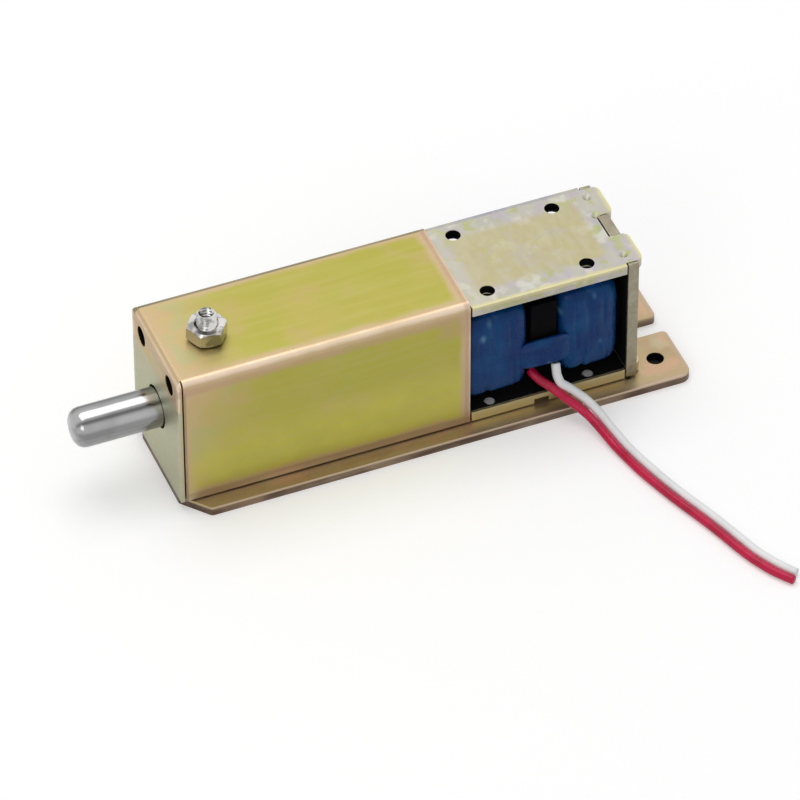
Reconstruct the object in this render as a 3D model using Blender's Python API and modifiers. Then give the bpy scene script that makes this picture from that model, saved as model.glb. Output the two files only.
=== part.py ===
# Solenoid lock: a sprung round bolt in a folded cover, drawn back by a coil in a steel yoke.
# Metres, +Z up. The bolt points to -X. The origin is under the middle of the lock's length.

import math

import bmesh
import bpy
from mathutils import Matrix, Vector

# Clearances
SEAT_GAP = 0.0003        # between a piece and what it rests on or sits in
RUN_GAP = 0.0001         # around the sliding bolt and inside tapped holes
SEAM_GAP = 0.0003        # between the cover's front flap and its side walls

# Base plate
PLATE_THICK = 0.0020
PLATE_WIDTH = 0.0310
PLATE_TAIL = 0.0105      # behind the yoke
PLATE_CORNER = 0.0022
CLIP_LENGTH = 0.0047
CLIP_WIDTH = 0.0056
PLATE_ROUND = 0.0010     # at the clipped corners and the slot's mouth
SLOT_WIDTH = 0.0045
SLOT_DEPTH = 0.0080
EAR_HOLE = 0.0034
EAR_SPREAD = 0.01786
EAR_INSET = 0.0051

# Cover
COVER_LENGTH = 0.0595
BODY_WIDTH = 0.0244      # cover and yoke are flush at the sides
COVER_SHEET = 0.0008
COVER_FOLD = 0.0014
SEAM_LAP = 0.0012        # how far the flap's seam runs in over the side fold
FLAP_HOLE = 0.0041
FLAP_HOLE_SPREAD = 0.0148
FLAP_HOLE_DROP = 0.0040
BOLT_WINDOW_GAP = 0.0004

# Guide block
BLOCK_LENGTH = 0.0209
BLOCK_EDGE = 0.0010
BLOCK_TAP = 0.0033
TAP_FLOOR = 0.0010       # metal left between a front tap and the side pocket
BLOCK_SCREW_INSET = 0.0055
POCKET_DEPTH = 0.0036
POCKET_WALL = 0.0040

# Stud and nut on the cover
STUD_DIA = 0.0040
STUD_SETBACK = 0.0100
STUD_SIDE = -0.0015      # the stud stands a little to the near side
STUD_DEPTH = 0.0076
STUD_PROUD = 0.0027
NUT_FLATS = 0.0070
NUT_HEIGHT = 0.0032
NUT_FACE = 0.97          # round face of the nut, as a share of its flats
NUT_TURN = math.radians(-7)

# Bolt, pin and plunger
BOLT_DIA = 0.0080
BOLT_REACH = 0.01775
NOSE_ROUND = 0.0023
NOSE_DOME = 0.0004
STOP_THICK = 0.0014
STOP_RIM = 0.0010        # stop washer's edge beyond the collar
COLLAR_THICK = 0.0020
NECK_LENGTH = 0.0045
TANG_LENGTH = 0.0105
TANG_THICK = 0.0030
PIN_DIA = 0.0025
PLUNGER_DIA = 0.0096
TRAVEL = 0.0100

# Return spring
SPRING_WIRE = 0.0007
SPRING_TURNS = 9
SPRING_AIR = 0.0004
SPRING_SEAT = 0.0007
SEAT_RIM = 0.0012        # spring seat's edge beyond the collar
CLOSED_PITCH = 1.1       # of the closed end turns, in wire diameters

# Yoke
YOKE_SHEET = 0.0022
YOKE_HEIGHT = 0.0293
YOKE_LAP = 0.0045        # length of the yoke under the cover
YOKE_BEND = 0.0008
COIL_BAY = 0.0350
TONGUE_INSET = 0.0008
TONGUE_GAP = 0.0064      # between the two tongues of one plate
TONGUE_REACH = 0.0013
TONGUE_CORNER = 0.0015
TAP_DIA = 0.0030
TAP_SPREAD = 0.0171
TAP_FRONT_INSET = 0.0046
TAP_REAR_INSET = 0.0072
DIMPLE_DIA = 0.0018
DIMPLE_DEPTH = 0.0008
DIMPLE_POINT = 0.00002
TONGUE_MARK = 0.0089     # punch marks on the tongues, from the middle
TONGUE_MARK_SHIFT = 0.0003
MIDDLE_MARK = 0.0034
MIDDLE_MARK_SHIFT = -0.0002
NOTCH_LENGTH = 0.0031
NOTCH_SHIFT = 0.0009
NOTCH_DEPTH = 0.0016
NOTCH_RISE = 0.0011
SHOULDER_ROUND = 0.0004

# Screws under the base plate
HEAD_DIA = 0.0050
SCREW_DIA = 0.0025
SCREW_SPREAD = 0.0200
SCREW_SINK = 0.00015
SCREW_TIP = 0.0003
YOKE_SCREW_END = 0.0003  # below the yoke's inner floor
BLOCK_SCREW_BITE = 0.0060
CROSS_WIDTH = 0.0005
CROSS_SPAN = 0.0028
CROSS_DEPTH = 0.0010

# Coil
BOBBIN_WALL = 0.0010
FLANGE_THICK = 0.0007
END_FLANGE_RIM = 0.0032
MID_FLANGE_RIM = 0.0017
MID_FLANGE_THICK = 0.0006
COIL_SET_IN = 0.0003     # winding's side inside the yoke's side
COIL_AIR = 0.00185       # winding to yoke plate
WINDING_EDGE = 0.0028
FRONT_WINDING = 0.0135
MID_GAP = 0.0067
MID_BLOCK = 0.0055
MID_BLOCK_STEP = 0.0012
MID_BLOCK_DROP = 0.0055
MID_BLOCK_EDGE = 0.0005
TAPE_THICK = 0.0010
TAPE_HEIGHT = 0.0066
TAPE_RISE = 0.0010
TAPE_LAP = 0.0008        # how far the tape reaches over the windings' rounded ends
TAPE_EDGE = 0.00035

# Fixed core
CORE_LENGTH = 0.0098
PAD_THICK = 0.0005
RIVET_DIA = 0.0050
RIVET_HEAD = 0.0072
RIVET_RISE = 0.0008

# Leads
LEAD_DIA = 0.0018

ROUND_SIDES = 40
HOLE_SIDES = 24
SMALL_SIDES = 16
ARC_STEPS = 4
SPRING_SIDES = 14
OUTLINE_ROUND = 0.0003   # at the end plate's corners
EDGE_CHAMFER = 0.0005    # on turned ends
OVERSHOOT = 0.0010       # how far a cutter runs past what it cuts
WELD = 0.00001

# Places along X
YOKE_REAR = COVER_LENGTH - YOKE_LAP + 2 * YOKE_SHEET + COIL_BAY
COVER_FRONT = -(YOKE_REAR + PLATE_TAIL - BOLT_REACH) / 2
COVER_REAR = COVER_FRONT + COVER_LENGTH
PLATE_FRONT = COVER_FRONT + SEAT_GAP
PLATE_REAR = COVER_FRONT + YOKE_REAR + PLATE_TAIL
EAR_X = PLATE_REAR - EAR_INSET
BLOCK_FRONT = COVER_FRONT + COVER_SHEET + SEAT_GAP
BLOCK_REAR = BLOCK_FRONT + BLOCK_LENGTH
STUD_X = COVER_FRONT + STUD_SETBACK
YOKE_FRONT = COVER_REAR - YOKE_LAP
BAY_FRONT = YOKE_FRONT + YOKE_SHEET
BAY_REAR = BAY_FRONT + COIL_BAY
END_PLATE_REAR = BAY_REAR + YOKE_SHEET
TAP_FRONT_X = COVER_REAR + SEAT_GAP + TAP_FRONT_INSET
TAP_REAR_X = BAY_REAR - TAP_REAR_INSET
STOP_FRONT = BLOCK_REAR + SEAT_GAP
COLLAR_FRONT = STOP_FRONT + STOP_THICK + SEAT_GAP
COLLAR_REAR = COLLAR_FRONT + COLLAR_THICK
NECK_REAR = COLLAR_REAR + NECK_LENGTH
TANG_REAR = NECK_REAR + TANG_LENGTH
PIN_X = (NECK_REAR + TANG_REAR) / 2
CORE_REAR = BAY_REAR - SEAT_GAP
CORE_FRONT = CORE_REAR - CORE_LENGTH
PAD_REAR = CORE_FRONT - SEAT_GAP
PLUNGER_FRONT = NECK_REAR + SEAT_GAP
PLUNGER_REAR = PAD_REAR - PAD_THICK - SEAT_GAP - TRAVEL
BOBBIN_FRONT = BAY_FRONT + SEAT_GAP
BOBBIN_REAR = BAY_REAR - SEAT_GAP
FRONT_WINDING_X = BOBBIN_FRONT + FLANGE_THICK + SEAT_GAP
MID_FRONT = FRONT_WINDING_X + FRONT_WINDING
MID_REAR = MID_FRONT + MID_GAP
MID_X = (MID_FRONT + MID_REAR) / 2
REAR_WINDING_END = BOBBIN_REAR - FLANGE_THICK - SEAT_GAP

# Heights
YOKE_BOTTOM = PLATE_THICK + SEAT_GAP
YOKE_TOP = YOKE_BOTTOM + YOKE_HEIGHT
YOKE_FLOOR = YOKE_BOTTOM + YOKE_SHEET
AXIS_Z = (YOKE_BOTTOM + YOKE_TOP) / 2
COVER_INNER_TOP = YOKE_TOP + SEAT_GAP
COVER_TOP = COVER_INNER_TOP + COVER_SHEET
NUT_BOTTOM = COVER_TOP + SEAT_GAP
STUD_BOTTOM = YOKE_TOP - STUD_DEPTH

# Half widths and radii
BODY_HALF = BODY_WIDTH / 2
INNER_HALF = BODY_HALF - COVER_SHEET
NECK_HALF = INNER_HALF - SEAT_GAP
TONGUE_OUT = BODY_HALF - TONGUE_INSET
TONGUE_IN = TONGUE_GAP / 2
WINDING_HALF_Y = BODY_HALF - COIL_SET_IN
WINDING_HALF_Z = YOKE_HEIGHT / 2 - YOKE_SHEET - COIL_AIR
BOLT_R = BOLT_DIA / 2
PLUNGER_R = PLUNGER_DIA / 2
SPRING_R = PLUNGER_R + SPRING_AIR + SPRING_WIRE / 2
COLLAR_R = SPRING_R + SPRING_WIRE / 2 + RUN_GAP
TUBE_IN = PLUNGER_R + SEAT_GAP
TUBE_OUT = TUBE_IN + BOBBIN_WALL

# Routes of the two leads: metres behind the cover's front face, then Y and Z
RED_ROUTE = [
    (0.0731, -0.0093, 0.0087), (0.0736, -0.0105, 0.0081), (0.0744, -0.0116, 0.0074),
    (0.0758, -0.0131, 0.0066), (0.0770, -0.0147, 0.0058), (0.0786, -0.0164, 0.0046),
    (0.0800, -0.0181, 0.0036), (0.0812, -0.0201, 0.0027), (0.0821, -0.0229, 0.0019),
    (0.0828, -0.0262, 0.00135), (0.0835, -0.0294, 0.0010), (0.0849, -0.0357, 0.00095),
    (0.0866, -0.0414, 0.00095), (0.0884, -0.0468, 0.00095), (0.0903, -0.0519, 0.00095),
    (0.0921, -0.0572, 0.00095), (0.0938, -0.0627, 0.00095), (0.0950, -0.0660, 0.00095),
    (0.0968, -0.0698, 0.00095), (0.0985, -0.0724, 0.00095), (0.0998, -0.0742, 0.00095),
]
WHITE_ROUTE = [
    (0.0777, -0.0111, 0.0104), (0.0776, -0.0117, 0.0094), (0.0775, -0.0125, 0.0084),
    (0.0778, -0.0136, 0.0073), (0.0789, -0.0144, 0.0065), (0.0801, -0.0153, 0.0056),
    (0.0817, -0.0172, 0.0045), (0.0831, -0.0197, 0.0031), (0.0840, -0.0224, 0.0019),
    (0.0854, -0.0290, 0.0010), (0.0869, -0.0352, 0.00095), (0.0885, -0.0408, 0.00095),
    (0.0903, -0.0461, 0.00095), (0.0922, -0.0513, 0.00095), (0.0940, -0.0566, 0.00095),
    (0.0957, -0.0621, 0.00095), (0.0968, -0.0652, 0.00095), (0.0986, -0.0688, 0.00095),
    (0.1001, -0.0713, 0.00095), (0.1011, -0.0726, 0.00095),
]


def clear_scene():
    for obj in list(bpy.data.objects):
        bpy.data.objects.remove(obj, do_unlink=True)


def new_collection(name):
    collection = bpy.data.collections.new(name)
    bpy.context.scene.collection.children.link(collection)
    return collection


def principled(name, color, roughness, metallic):
    material = bpy.data.materials.new(name)
    material.use_nodes = True
    shader = material.node_tree.nodes["Principled BSDF"]
    shader.inputs["Base Color"].default_value = (*color, 1.0)
    shader.inputs["Roughness"].default_value = roughness
    shader.inputs["Metallic"].default_value = metallic
    material.diffuse_color = (*color, 1.0)
    return material


def add_object(name, data, matrix, collection):
    obj = bpy.data.objects.new(name, data)
    obj.matrix_world = matrix
    collection.objects.link(obj)
    if collection == cutters:
        obj.hide_render = True
        obj.display_type = "WIRE"
    return obj


def mesh_from(name, bm, smooth):
    mesh = bpy.data.meshes.new(name)
    bm.to_mesh(mesh)
    bm.free()
    if smooth:
        mesh.shade_smooth()
        mesh.set_sharp_from_angle(angle=math.radians(35))
    return mesh


def box(name, low, high, collection):
    """A block between two corners, with its origin in the middle."""
    low, high = Vector(low), Vector(high)
    bm = bmesh.new()
    bmesh.ops.create_cube(bm, size=1.0)
    bmesh.ops.scale(bm, vec=high - low, verts=bm.verts)
    matrix = Matrix.Translation((low + high) / 2)
    return add_object(name, mesh_from(name, bm, False), matrix, collection)


def axis_turn(axis):
    if axis == "X":
        return Matrix.Rotation(math.pi / 2, 4, "Y")
    if axis == "Y":
        return Matrix.Rotation(-math.pi / 2, 4, "X")
    return Matrix.Identity(4)


def rod(name, start, length, radius, axis, collection, sides=HOLE_SIDES, end_radius=None):
    """A cylinder or cone that runs from start along one axis."""
    far = radius if end_radius is None else end_radius
    bm = bmesh.new()
    bmesh.ops.create_cone(
        bm, cap_ends=True, segments=sides, radius1=radius, radius2=far, depth=length)
    bmesh.ops.translate(bm, vec=(0, 0, length / 2), verts=bm.verts)
    matrix = Matrix.Translation(start) @ axis_turn(axis)
    return add_object(name, mesh_from(name, bm, True), matrix, collection)


def turned(name, stations, start, axis, collection, sides=ROUND_SIDES, closed=False):
    """A turned solid. Stations are (distance from start, radius), from the near end on."""
    points = [(radius, 0, along) for along, radius in reversed(stations)]
    edges = [(i, i + 1) for i in range(len(points) - 1)]
    if closed:
        edges.append((len(points) - 1, 0))
    mesh = bpy.data.meshes.new(name)
    mesh.from_pydata(points, edges, [])
    obj = add_object(name, mesh, Matrix.Translation(start) @ axis_turn(axis), collection)
    screw = obj.modifiers.new("turn", "SCREW")
    screw.steps = sides
    screw.render_steps = sides
    screw.use_merge_vertices = True
    screw.merge_threshold = WELD
    screw.use_smooth_shade = False
    return obj


def washer(name, start, thick, inner, outer, collection):
    """A flat ring whose bore and rim are turned from one rectangle."""
    stations = [(0, inner), (0, outer), (thick, outer), (thick, inner)]
    return turned(name, stations, start, "X", collection, closed=True)


def arc_stations(centre, radius, first, last, base):
    """Points of a rounded edge for a turned profile, angles counted from the axis."""
    points = []
    for step in range(ARC_STEPS + 1):
        angle = first + (last - first) * step / ARC_STEPS
        points.append((centre - radius * math.cos(angle), base + radius * math.sin(angle)))
    return points


def rounded(corners):
    """An outline from (x, y, radius) corners, each rounded by its radius."""
    outline = []
    count = len(corners)
    for i, (x, y, radius) in enumerate(corners):
        corner = Vector((x, y))
        if radius == 0:
            outline.append(corner)
            continue
        before = (Vector(corners[i - 1][:2]) - corner).normalized()
        after = (Vector(corners[(i + 1) % count][:2]) - corner).normalized()
        half = before.angle(after) / 2
        centre = corner + (before + after).normalized() * radius / math.sin(half)
        tangent_in = corner + before * radius / math.tan(half) - centre
        tangent_out = corner + after * radius / math.tan(half) - centre
        sweep = tangent_in.angle_signed(tangent_out)
        for step in range(ARC_STEPS + 1):
            turn = Matrix.Rotation(-sweep * step / ARC_STEPS, 2)
            outline.append(centre + turn @ tangent_in)
    return outline


def mirrored(half):
    """The whole outline from the half at +Y, which starts and ends on the middle line."""
    return half + [(x, -y, radius) for x, y, radius in reversed(half) if y > 0]


def plate(name, corners, thick, matrix, collection):
    """A flat outline drawn as a filled curve and made a closed mesh."""
    curve = bpy.data.curves.new(name + "_outline", "CURVE")
    curve.dimensions = "2D"
    curve.fill_mode = "BOTH"
    curve.extrude = thick / 2
    outline = rounded(corners)
    spline = curve.splines.new("POLY")
    spline.points.add(len(outline) - 1)
    for point, place in zip(spline.points, outline):
        point.co = (place.x, place.y, 0, 1)
    spline.use_cyclic_u = True
    source = bpy.data.objects.new(name + "_outline", curve)
    source.matrix_world = matrix
    collection.objects.link(source)
    bpy.context.view_layer.update()
    graph = bpy.context.evaluated_depsgraph_get()
    mesh = bpy.data.meshes.new_from_object(source.evaluated_get(graph))
    mesh.name = name
    bm = bmesh.new()
    bm.from_mesh(mesh)
    bmesh.ops.remove_doubles(bm, verts=bm.verts, dist=WELD)
    bmesh.ops.recalc_face_normals(bm, faces=bm.faces)
    bm.to_mesh(mesh)
    bm.free()
    obj = add_object(name, mesh, source.matrix_world, collection)
    bpy.data.objects.remove(source, do_unlink=True)
    return obj


def boolean(target, tool, operation="DIFFERENCE"):
    modifier = target.modifiers.new(tool.name, "BOOLEAN")
    modifier.operation = operation
    modifier.solver = "EXACT"
    modifier.object = tool


def round_edges(obj, width, segments, weights=None):
    """Bevel every edge, or only the edges that a test on their ends gives a weight."""
    bevel = obj.modifiers.new("edges", "BEVEL")
    bevel.width = width
    bevel.segments = segments
    bevel.limit_method = "ANGLE"
    if weights:
        bevel.limit_method = "WEIGHT"
        layer = obj.data.attributes.new("bevel_weight_edge", "FLOAT", "EDGE")
        for edge in obj.data.edges:
            ends = [obj.data.vertices[i].co for i in edge.vertices]
            layer.data[edge.index].value = weights(*ends)


def paint(obj, material):
    obj.data.materials.clear()
    obj.data.materials.append(material)
    return obj


def side_fold(first, second):
    """Weight 1 on the two long top edges of a box."""
    lengthwise = abs(first.y - second.y) < WELD and abs(first.z - second.z) < WELD
    return 1.0 if lengthwise and first.z > 0 else 0.0


def every_fold(first, second):
    """Weight 1 on the two long top edges and on the top front edge."""
    front = max(first.x, second.x) < 0 < min(first.z, second.z)
    return 1.0 if front else side_fold(first, second)


def make_base_plate():
    half = [
        (PLATE_FRONT, 0, 0),
        (PLATE_FRONT, PLATE_WIDTH / 2 - CLIP_WIDTH, PLATE_ROUND),
        (PLATE_FRONT + CLIP_LENGTH, PLATE_WIDTH / 2, PLATE_ROUND),
        (PLATE_REAR, PLATE_WIDTH / 2, PLATE_CORNER),
        (PLATE_REAR, SLOT_WIDTH / 2, PLATE_ROUND),
        (PLATE_REAR - SLOT_DEPTH, SLOT_WIDTH / 2, SLOT_WIDTH * 0.499),
        (PLATE_REAR - SLOT_DEPTH, 0, 0),
    ]
    matrix = Matrix.Translation((0, 0, PLATE_THICK / 2))
    base = plate("base_plate", mirrored(half), PLATE_THICK, matrix, parts)
    for side in (-1, 1):
        start = (EAR_X, side * EAR_SPREAD / 2, -OVERSHOOT)
        hole = rod("ear_hole", start, PLATE_THICK + 2 * OVERSHOOT, EAR_HOLE / 2, "Z", cutters)
        boolean(base, hole)
    for x, y in yoke_screw_places() + block_screw_places():
        boolean(base, make_countersink(x, y))
    return paint(base, zinc_dark)


def top_tap_places():
    return [(x, side * TAP_SPREAD / 2) for x in (TAP_FRONT_X, TAP_REAR_X) for side in (-1, 1)]


def yoke_screw_places():
    return [(x, side * SCREW_SPREAD / 2) for x in (TAP_FRONT_X, TAP_REAR_X) for side in (-1, 1)]


def block_screw_places():
    return [(BLOCK_FRONT + BLOCK_SCREW_INSET, 0), (BLOCK_REAR - BLOCK_SCREW_INSET, 0)]


def make_countersink(x, y):
    """The hole that takes a countersunk screw from below, a seat gap larger all round."""
    wide = HEAD_DIA / 2 + SEAT_GAP
    narrow = SCREW_DIA / 2 + SEAT_GAP
    cone = SCREW_SINK + HEAD_DIA / 2 - SCREW_DIA / 2
    stations = [(0, 0), (0, wide), (OVERSHOOT, wide), (OVERSHOOT + cone, narrow),
                (2 * OVERSHOOT + PLATE_THICK, narrow), (2 * OVERSHOOT + PLATE_THICK, 0)]
    start = (x, y, -OVERSHOOT)
    return turned("countersink", stations, start, "Z", cutters, sides=SMALL_SIDES)


def make_screw(name, x, y, top):
    """A countersunk screw with a cross recess, its head just inside the plate's underside."""
    head, shank = HEAD_DIA / 2, SCREW_DIA / 2
    length = top - SCREW_SINK
    stations = [(0, 0), (0, head), (head - shank, shank), (length - SCREW_TIP, shank),
                (length, shank - SCREW_TIP), (length, 0)]
    screw = turned(name, stations, (x, y, SCREW_SINK), "Z", parts, sides=SMALL_SIDES)
    for along, across in ((CROSS_SPAN, CROSS_WIDTH), (CROSS_WIDTH, CROSS_SPAN)):
        low = (x - along / 2, y - across / 2, SCREW_SINK - OVERSHOOT)
        high = (x + along / 2, y + across / 2, SCREW_SINK + CROSS_DEPTH)
        boolean(screw, box("cross_recess", low, high, cutters))
    return paint(screw, zinc_bright)


def make_screws():
    for number, (x, y) in enumerate(yoke_screw_places(), start=1):
        make_screw(f"yoke_screw_{number}", x, y, YOKE_FLOOR - YOKE_SCREW_END)
    for number, (x, y) in enumerate(block_screw_places(), start=1):
        make_screw(f"block_screw_{number}", x, y, YOKE_BOTTOM + BLOCK_SCREW_BITE)


def make_cover():
    """A folded sheet: top, two side walls and a front flap that laps the side walls."""
    low = (COVER_FRONT, -BODY_HALF, YOKE_BOTTOM)
    high = (COVER_REAR, BODY_HALF, COVER_TOP)
    cover = box("cover", low, high, parts)
    round_edges(cover, COVER_FOLD, ARC_STEPS, every_fold)
    low = (COVER_FRONT + COVER_SHEET, -INNER_HALF, YOKE_BOTTOM - 10 * OVERSHOOT)
    high = (COVER_REAR + OVERSHOOT, INNER_HALF, COVER_INNER_TOP)
    hollow = box("cover_hollow", low, high, cutters)
    round_edges(hollow, COVER_FOLD - COVER_SHEET, ARC_STEPS, side_fold)
    for side in (-1, 1):
        edges = sorted((side * (BODY_HALF - SEAM_LAP), side * (BODY_HALF + OVERSHOOT)))
        low = (COVER_FRONT + COVER_SHEET, edges[0], YOKE_BOTTOM - OVERSHOOT)
        high = (COVER_FRONT + COVER_SHEET + SEAM_GAP, edges[1], COVER_TOP + OVERSHOOT)
        boolean(cover, box("flap_seam", low, high, cutters))
    boolean(cover, hollow)
    for side in (-1, 1):
        start = (COVER_FRONT - OVERSHOOT, side * FLAP_HOLE_SPREAD / 2, COVER_TOP - FLAP_HOLE_DROP)
        length = COVER_SHEET + 2 * OVERSHOOT
        boolean(cover, rod("flap_hole", start, length, FLAP_HOLE / 2, "X", cutters))
    start = (COVER_FRONT - OVERSHOOT, 0, AXIS_Z)
    window = BOLT_R + BOLT_WINDOW_GAP
    length = COVER_SHEET + 2 * OVERSHOOT
    boolean(cover, rod("bolt_window", start, length, window, "X", cutters, sides=ROUND_SIDES))
    start = (STUD_X, STUD_SIDE, COVER_INNER_TOP - OVERSHOOT)
    boolean(cover, rod("stud_hole", start, length, STUD_DIA / 2 + SEAT_GAP, "Z", cutters))
    return paint(cover, zinc_yellow)


def make_guide_block():
    """The block that guides the bolt and carries the cover's stud."""
    low = (BLOCK_FRONT, -NECK_HALF, YOKE_BOTTOM)
    high = (BLOCK_REAR, NECK_HALF, YOKE_TOP)
    block = box("guide_block", low, high, parts)
    round_edges(block, BLOCK_EDGE, 2)
    start = (BLOCK_FRONT - OVERSHOOT, 0, AXIS_Z)
    length = BLOCK_LENGTH + 2 * OVERSHOOT
    boolean(block, rod("bore", start, length, BOLT_R + RUN_GAP, "X", cutters, sides=ROUND_SIDES))
    for side in (-1, 1):
        edges = sorted((side * (NECK_HALF - POCKET_DEPTH), side * (NECK_HALF + OVERSHOOT)))
        low = (BLOCK_FRONT + POCKET_WALL, edges[0], YOKE_BOTTOM + POCKET_WALL)
        high = (BLOCK_REAR - POCKET_WALL, edges[1], YOKE_TOP - POCKET_WALL)
        pocket = box("side_pocket", low, high, cutters)
        round_edges(pocket, BLOCK_EDGE / 2, 2)
        boolean(block, pocket)
        start = (BLOCK_FRONT - OVERSHOOT, side * FLAP_HOLE_SPREAD / 2, COVER_TOP - FLAP_HOLE_DROP)
        depth = POCKET_WALL - TAP_FLOOR + OVERSHOOT
        boolean(block, rod("front_tap", start, depth, BLOCK_TAP / 2, "X", cutters, SMALL_SIDES))
    start = (STUD_X, STUD_SIDE, STUD_BOTTOM - SEAT_GAP)
    depth = STUD_DEPTH + SEAT_GAP + OVERSHOOT
    boolean(block, rod("stud_tap", start, depth, STUD_DIA / 2 + RUN_GAP, "Z", cutters))
    for x, y in block_screw_places():
        depth = OVERSHOOT + BLOCK_SCREW_BITE + SEAT_GAP
        start = (x, y, YOKE_BOTTOM - OVERSHOOT)
        tap = rod("screw_tap", start, depth, SCREW_DIA / 2 + RUN_GAP, "Z", cutters, SMALL_SIDES)
        boolean(block, tap)
    return paint(block, cast_grey)


def make_stud():
    length = STUD_DEPTH + (NUT_BOTTOM - YOKE_TOP) + NUT_HEIGHT + STUD_PROUD
    radius = STUD_DIA / 2
    face = radius - EDGE_CHAMFER
    stations = [(0, 0), (0, face), (EDGE_CHAMFER, radius), (length - EDGE_CHAMFER, radius),
                (length, face), (length, 0)]
    start = (STUD_X, STUD_SIDE, STUD_BOTTOM)
    stud = turned("cover_stud", stations, start, "Z", parts, HOLE_SIDES)
    return paint(stud, zinc_bright)


def make_nut():
    """A hexagon nut: a prism trimmed by a double cone, with a round bore."""
    corner = NUT_FLATS / 2 / math.cos(math.pi / 6)
    start = (STUD_X, STUD_SIDE, NUT_BOTTOM)
    nut = rod("cover_nut", start, NUT_HEIGHT, corner, "Z", parts, sides=6)
    nut.data.shade_flat()
    nut.matrix_world = nut.matrix_world @ Matrix.Rotation(NUT_TURN, 4, "Z")
    face = NUT_FLATS / 2 * NUT_FACE
    rise = (corner + OVERSHOOT - face) * math.tan(math.radians(30))
    stations = [(0, 0), (0, face), (rise, corner + OVERSHOOT),
                (NUT_HEIGHT - rise, corner + OVERSHOOT), (NUT_HEIGHT, face), (NUT_HEIGHT, 0)]
    boolean(nut, turned("nut_chamfer", stations, start, "Z", cutters), "INTERSECT")
    start = (STUD_X, STUD_SIDE, NUT_BOTTOM - OVERSHOOT)
    length = NUT_HEIGHT + 2 * OVERSHOOT
    boolean(nut, rod("nut_bore", start, length, STUD_DIA / 2 + RUN_GAP, "Z", cutters))
    return paint(nut, zinc_bright)


def make_bolt():
    """The turned bolt: domed nose, shaft, spring collar, neck and a flat tang for the pin."""
    tip = COVER_FRONT - BOLT_REACH
    nose = arc_stations(NOSE_DOME + NOSE_ROUND, NOSE_ROUND, 0, math.pi / 2, BOLT_R - NOSE_ROUND)
    stations = [(0, 0)] + nose
    stations += [(COLLAR_FRONT - tip, BOLT_R), (COLLAR_FRONT - tip, COLLAR_R),
                 (COLLAR_REAR - tip, COLLAR_R), (COLLAR_REAR - tip, BOLT_R),
                 (TANG_REAR - tip, BOLT_R), (TANG_REAR - tip, 0)]
    bolt = turned("lock_bolt", stations, (tip, 0, AXIS_Z), "X", parts)
    for side in (-1, 1):
        edges = sorted((side * TANG_THICK / 2, side * (BOLT_R + OVERSHOOT)))
        low = (NECK_REAR, edges[0], AXIS_Z - BOLT_R - OVERSHOOT)
        high = (TANG_REAR + OVERSHOOT, edges[1], AXIS_Z + BOLT_R + OVERSHOOT)
        boolean(bolt, box("tang_side", low, high, cutters))
    boolean(bolt, pin_hole())
    return paint(bolt, steel_polished)


def pin_hole():
    start = (PIN_X, -PLUNGER_R - OVERSHOOT, AXIS_Z)
    length = PLUNGER_DIA + 2 * OVERSHOOT
    return rod("pin_hole", start, length, PIN_DIA / 2 + RUN_GAP, "Y", cutters, SMALL_SIDES)


def make_pin():
    length = PLUNGER_DIA - 2 * SEAT_GAP
    start = (PIN_X, -length / 2, AXIS_Z)
    pin = rod("coupling_pin", start, length, PIN_DIA / 2, "Y", parts, SMALL_SIDES)
    return paint(pin, steel_polished)


def make_plunger():
    """The steel plunger, slotted in front for the bolt's tang."""
    length = PLUNGER_REAR - PLUNGER_FRONT
    face = PLUNGER_R - EDGE_CHAMFER
    stations = [(0, 0), (0, face), (EDGE_CHAMFER, PLUNGER_R),
                (length - EDGE_CHAMFER, PLUNGER_R), (length, face), (length, 0)]
    plunger = turned("plunger", stations, (PLUNGER_FRONT, 0, AXIS_Z), "X", parts)
    half = TANG_THICK / 2 + SEAT_GAP
    low = (PLUNGER_FRONT - OVERSHOOT, -half, AXIS_Z - PLUNGER_R - OVERSHOOT)
    high = (TANG_REAR + SEAT_GAP, half, AXIS_Z + PLUNGER_R + OVERSHOOT)
    boolean(plunger, box("tang_slot", low, high, cutters))
    boolean(plunger, pin_hole())
    return paint(plunger, steel_plain)


def wire(name, points, diameter, location, material):
    """A round wire or lead along a list of points, with closed ends."""
    curve = bpy.data.curves.new(name, "CURVE")
    curve.dimensions = "3D"
    curve.bevel_depth = diameter / 2
    curve.bevel_resolution = 2
    curve.use_fill_caps = True
    spline = curve.splines.new("POLY")
    spline.points.add(len(points) - 1)
    for point, place in zip(spline.points, points):
        point.co = (*place, 1)
    obj = add_object(name, curve, Matrix.Translation(location), parts)
    return paint(obj, material)


def make_spring():
    """A coil spring with one closed turn at each end."""
    front = COLLAR_REAR + SEAT_GAP + SPRING_WIRE / 2
    rear = YOKE_FRONT - 2 * SEAT_GAP - SPRING_SEAT - SPRING_WIRE / 2
    closed_pitch = SPRING_WIRE * CLOSED_PITCH
    open_pitch = (rear - front - 2 * closed_pitch) / (SPRING_TURNS - 2)
    points = []
    for step in range(SPRING_TURNS * SPRING_SIDES + 1):
        turn = step / SPRING_SIDES
        opened = min(max(turn - 1, 0), SPRING_TURNS - 2)
        along = opened * open_pitch + (turn - opened) * closed_pitch
        angle = 2 * math.pi * turn
        points.append((along, SPRING_R * math.sin(angle), SPRING_R * math.cos(angle)))
    return wire("return_spring", points, SPRING_WIRE, (front, 0, AXIS_Z), steel_plain)


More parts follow.
